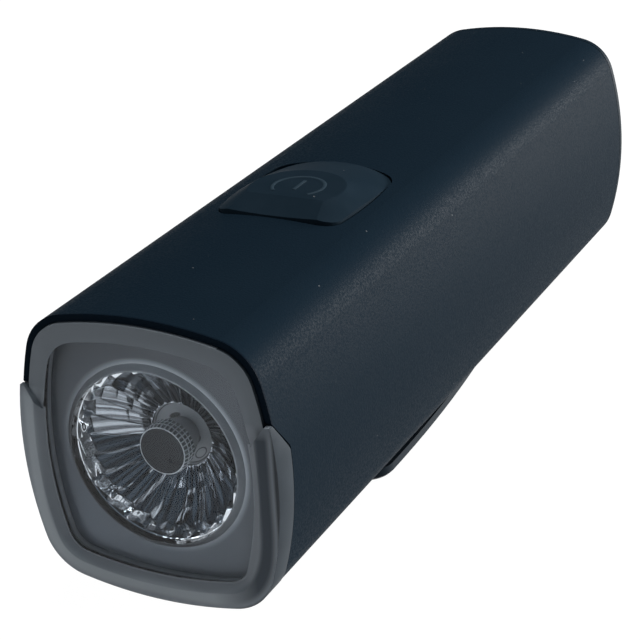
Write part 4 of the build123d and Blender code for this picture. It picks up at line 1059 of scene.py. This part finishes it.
def make_power_mark():
    """The ring and bar on the button's disc, as one piece that moves with the button."""
    ring = make_mark_ring()
    make_mark_bar()
    ring.select_set(True)
    bpy.context.view_layer.objects.active = ring
    bpy.ops.object.join()
    ring.name = "power_mark"
    bpy.ops.object.shade_smooth_by_angle(angle=math.radians(MARK_SHARP))
    ring.data.materials.append(MARK_RUBBER)
    hand_over(ring, BUTTON_BODY, "button_rubber")


make_power_mark()


# %% [markdown]
# The light stands on a plain white sweep in a soft studio. The floor glows
# white towards the camera, so that the background stays clean, and a part of
# its own shading is mixed in to keep the object's shadow. It stops no lamp
# light itself, because the tall lamp at the side reaches below it.

# %% Floor
FLOOR_SIZE = 6.0
FLOOR_DROP = 0.02
FLOOR_GREY = (0.6, 0.6, 0.6, 1)
FLOOR_WHITE = (1, 1, 1, 1)
FLOOR_GLOW = 1.1
GLOW_SHARE = 0.9


def floor_material(name):
    """White to the camera and in reflections, grey to the lamps."""
    material = bpy.data.materials.new(name)
    material.use_nodes = True
    tree = material.node_tree
    tree.nodes.clear()
    matt = add_node(tree, "ShaderNodeBsdfDiffuse", Color=FLOOR_GREY)
    glow = add_node(tree, "ShaderNodeEmission", Color=FLOOR_WHITE, Strength=FLOOR_GLOW)
    path = tree.nodes.new("ShaderNodeLightPath")
    seen = maths(tree, "MAXIMUM", path.outputs["Is Camera Ray"], path.outputs["Is Glossy Ray"])
    seen = maths(tree, "MAXIMUM", seen, path.outputs["Is Transmission Ray"])
    blend = add_node(tree, "ShaderNodeMixShader", Fac=maths(tree, "MULTIPLY", seen, GLOW_SHARE))
    tree.links.new(matt.outputs[0], blend.inputs[1])
    tree.links.new(glow.outputs[0], blend.inputs[2])
    output = tree.nodes.new("ShaderNodeOutputMaterial")
    tree.links.new(blend.outputs[0], output.inputs["Surface"])
    return material


def make_floor():
    """A large pale floor, white to the camera and in reflections, with a soft shadow."""
    bpy.ops.object.select_all(action="DESELECT")
    bpy.ops.mesh.primitive_plane_add(size=FLOOR_SIZE, location=(0, 0, -FLOOR_DROP * MM))
    floor = bpy.context.object
    floor.name = "studio_floor"
    floor.data.materials.append(floor_material("studio_floor"))
    floor.visible_shadow = False


make_floor()
print("floor", FLOOR_SIZE, "m across")


# %% [markdown]
# A wide, tall lamp low on the right and behind gives the long soft highlight
# along the tube's side. A small one overhead keeps the roof just above black, a
# weak one at the front left lifts the lens and its bumper, and the dim grey
# room fills the rest.

# %% Lamps
ROOM_SHADE = (0.095, 0.12, 0.145)
LAMP_AIM = spot(0, 50, 0)


def soft_lamp(name, place, width, height, power):
    """A rectangular lamp at a place in metres that looks at the light, its power in watts."""
    data = bpy.data.lights.new(name, "AREA")
    data.shape = "RECTANGLE"
    data.size = width
    data.size_y = height
    data.energy = power
    lamp = bpy.data.objects.new(name, data)
    bpy.context.scene.collection.objects.link(lamp)
    lamp.location = place
    lamp.rotation_mode = "QUATERNION"
    lamp.rotation_quaternion = (LAMP_AIM - Vector(place)).to_track_quat("-Z", "Y")


soft_lamp("side_lamp", (0.79, 0.85, 0.08), 0.8, 0.52, 31.5)
soft_lamp("top_lamp", (0.1, 0.15, 0.95), 0.3, 0.3, 10.5)
soft_lamp("front_lamp", (-0.5, -0.8, 0.2), 0.4, 0.4, 2.0)

world = bpy.data.worlds.new("studio")
world.use_nodes = True
world.node_tree.nodes["Background"].inputs["Color"].default_value = (*ROOM_SHADE, 1)
bpy.context.scene.world = world
bpy.context.scene.view_settings.view_transform = "Standard"
print("lamps and room ready")
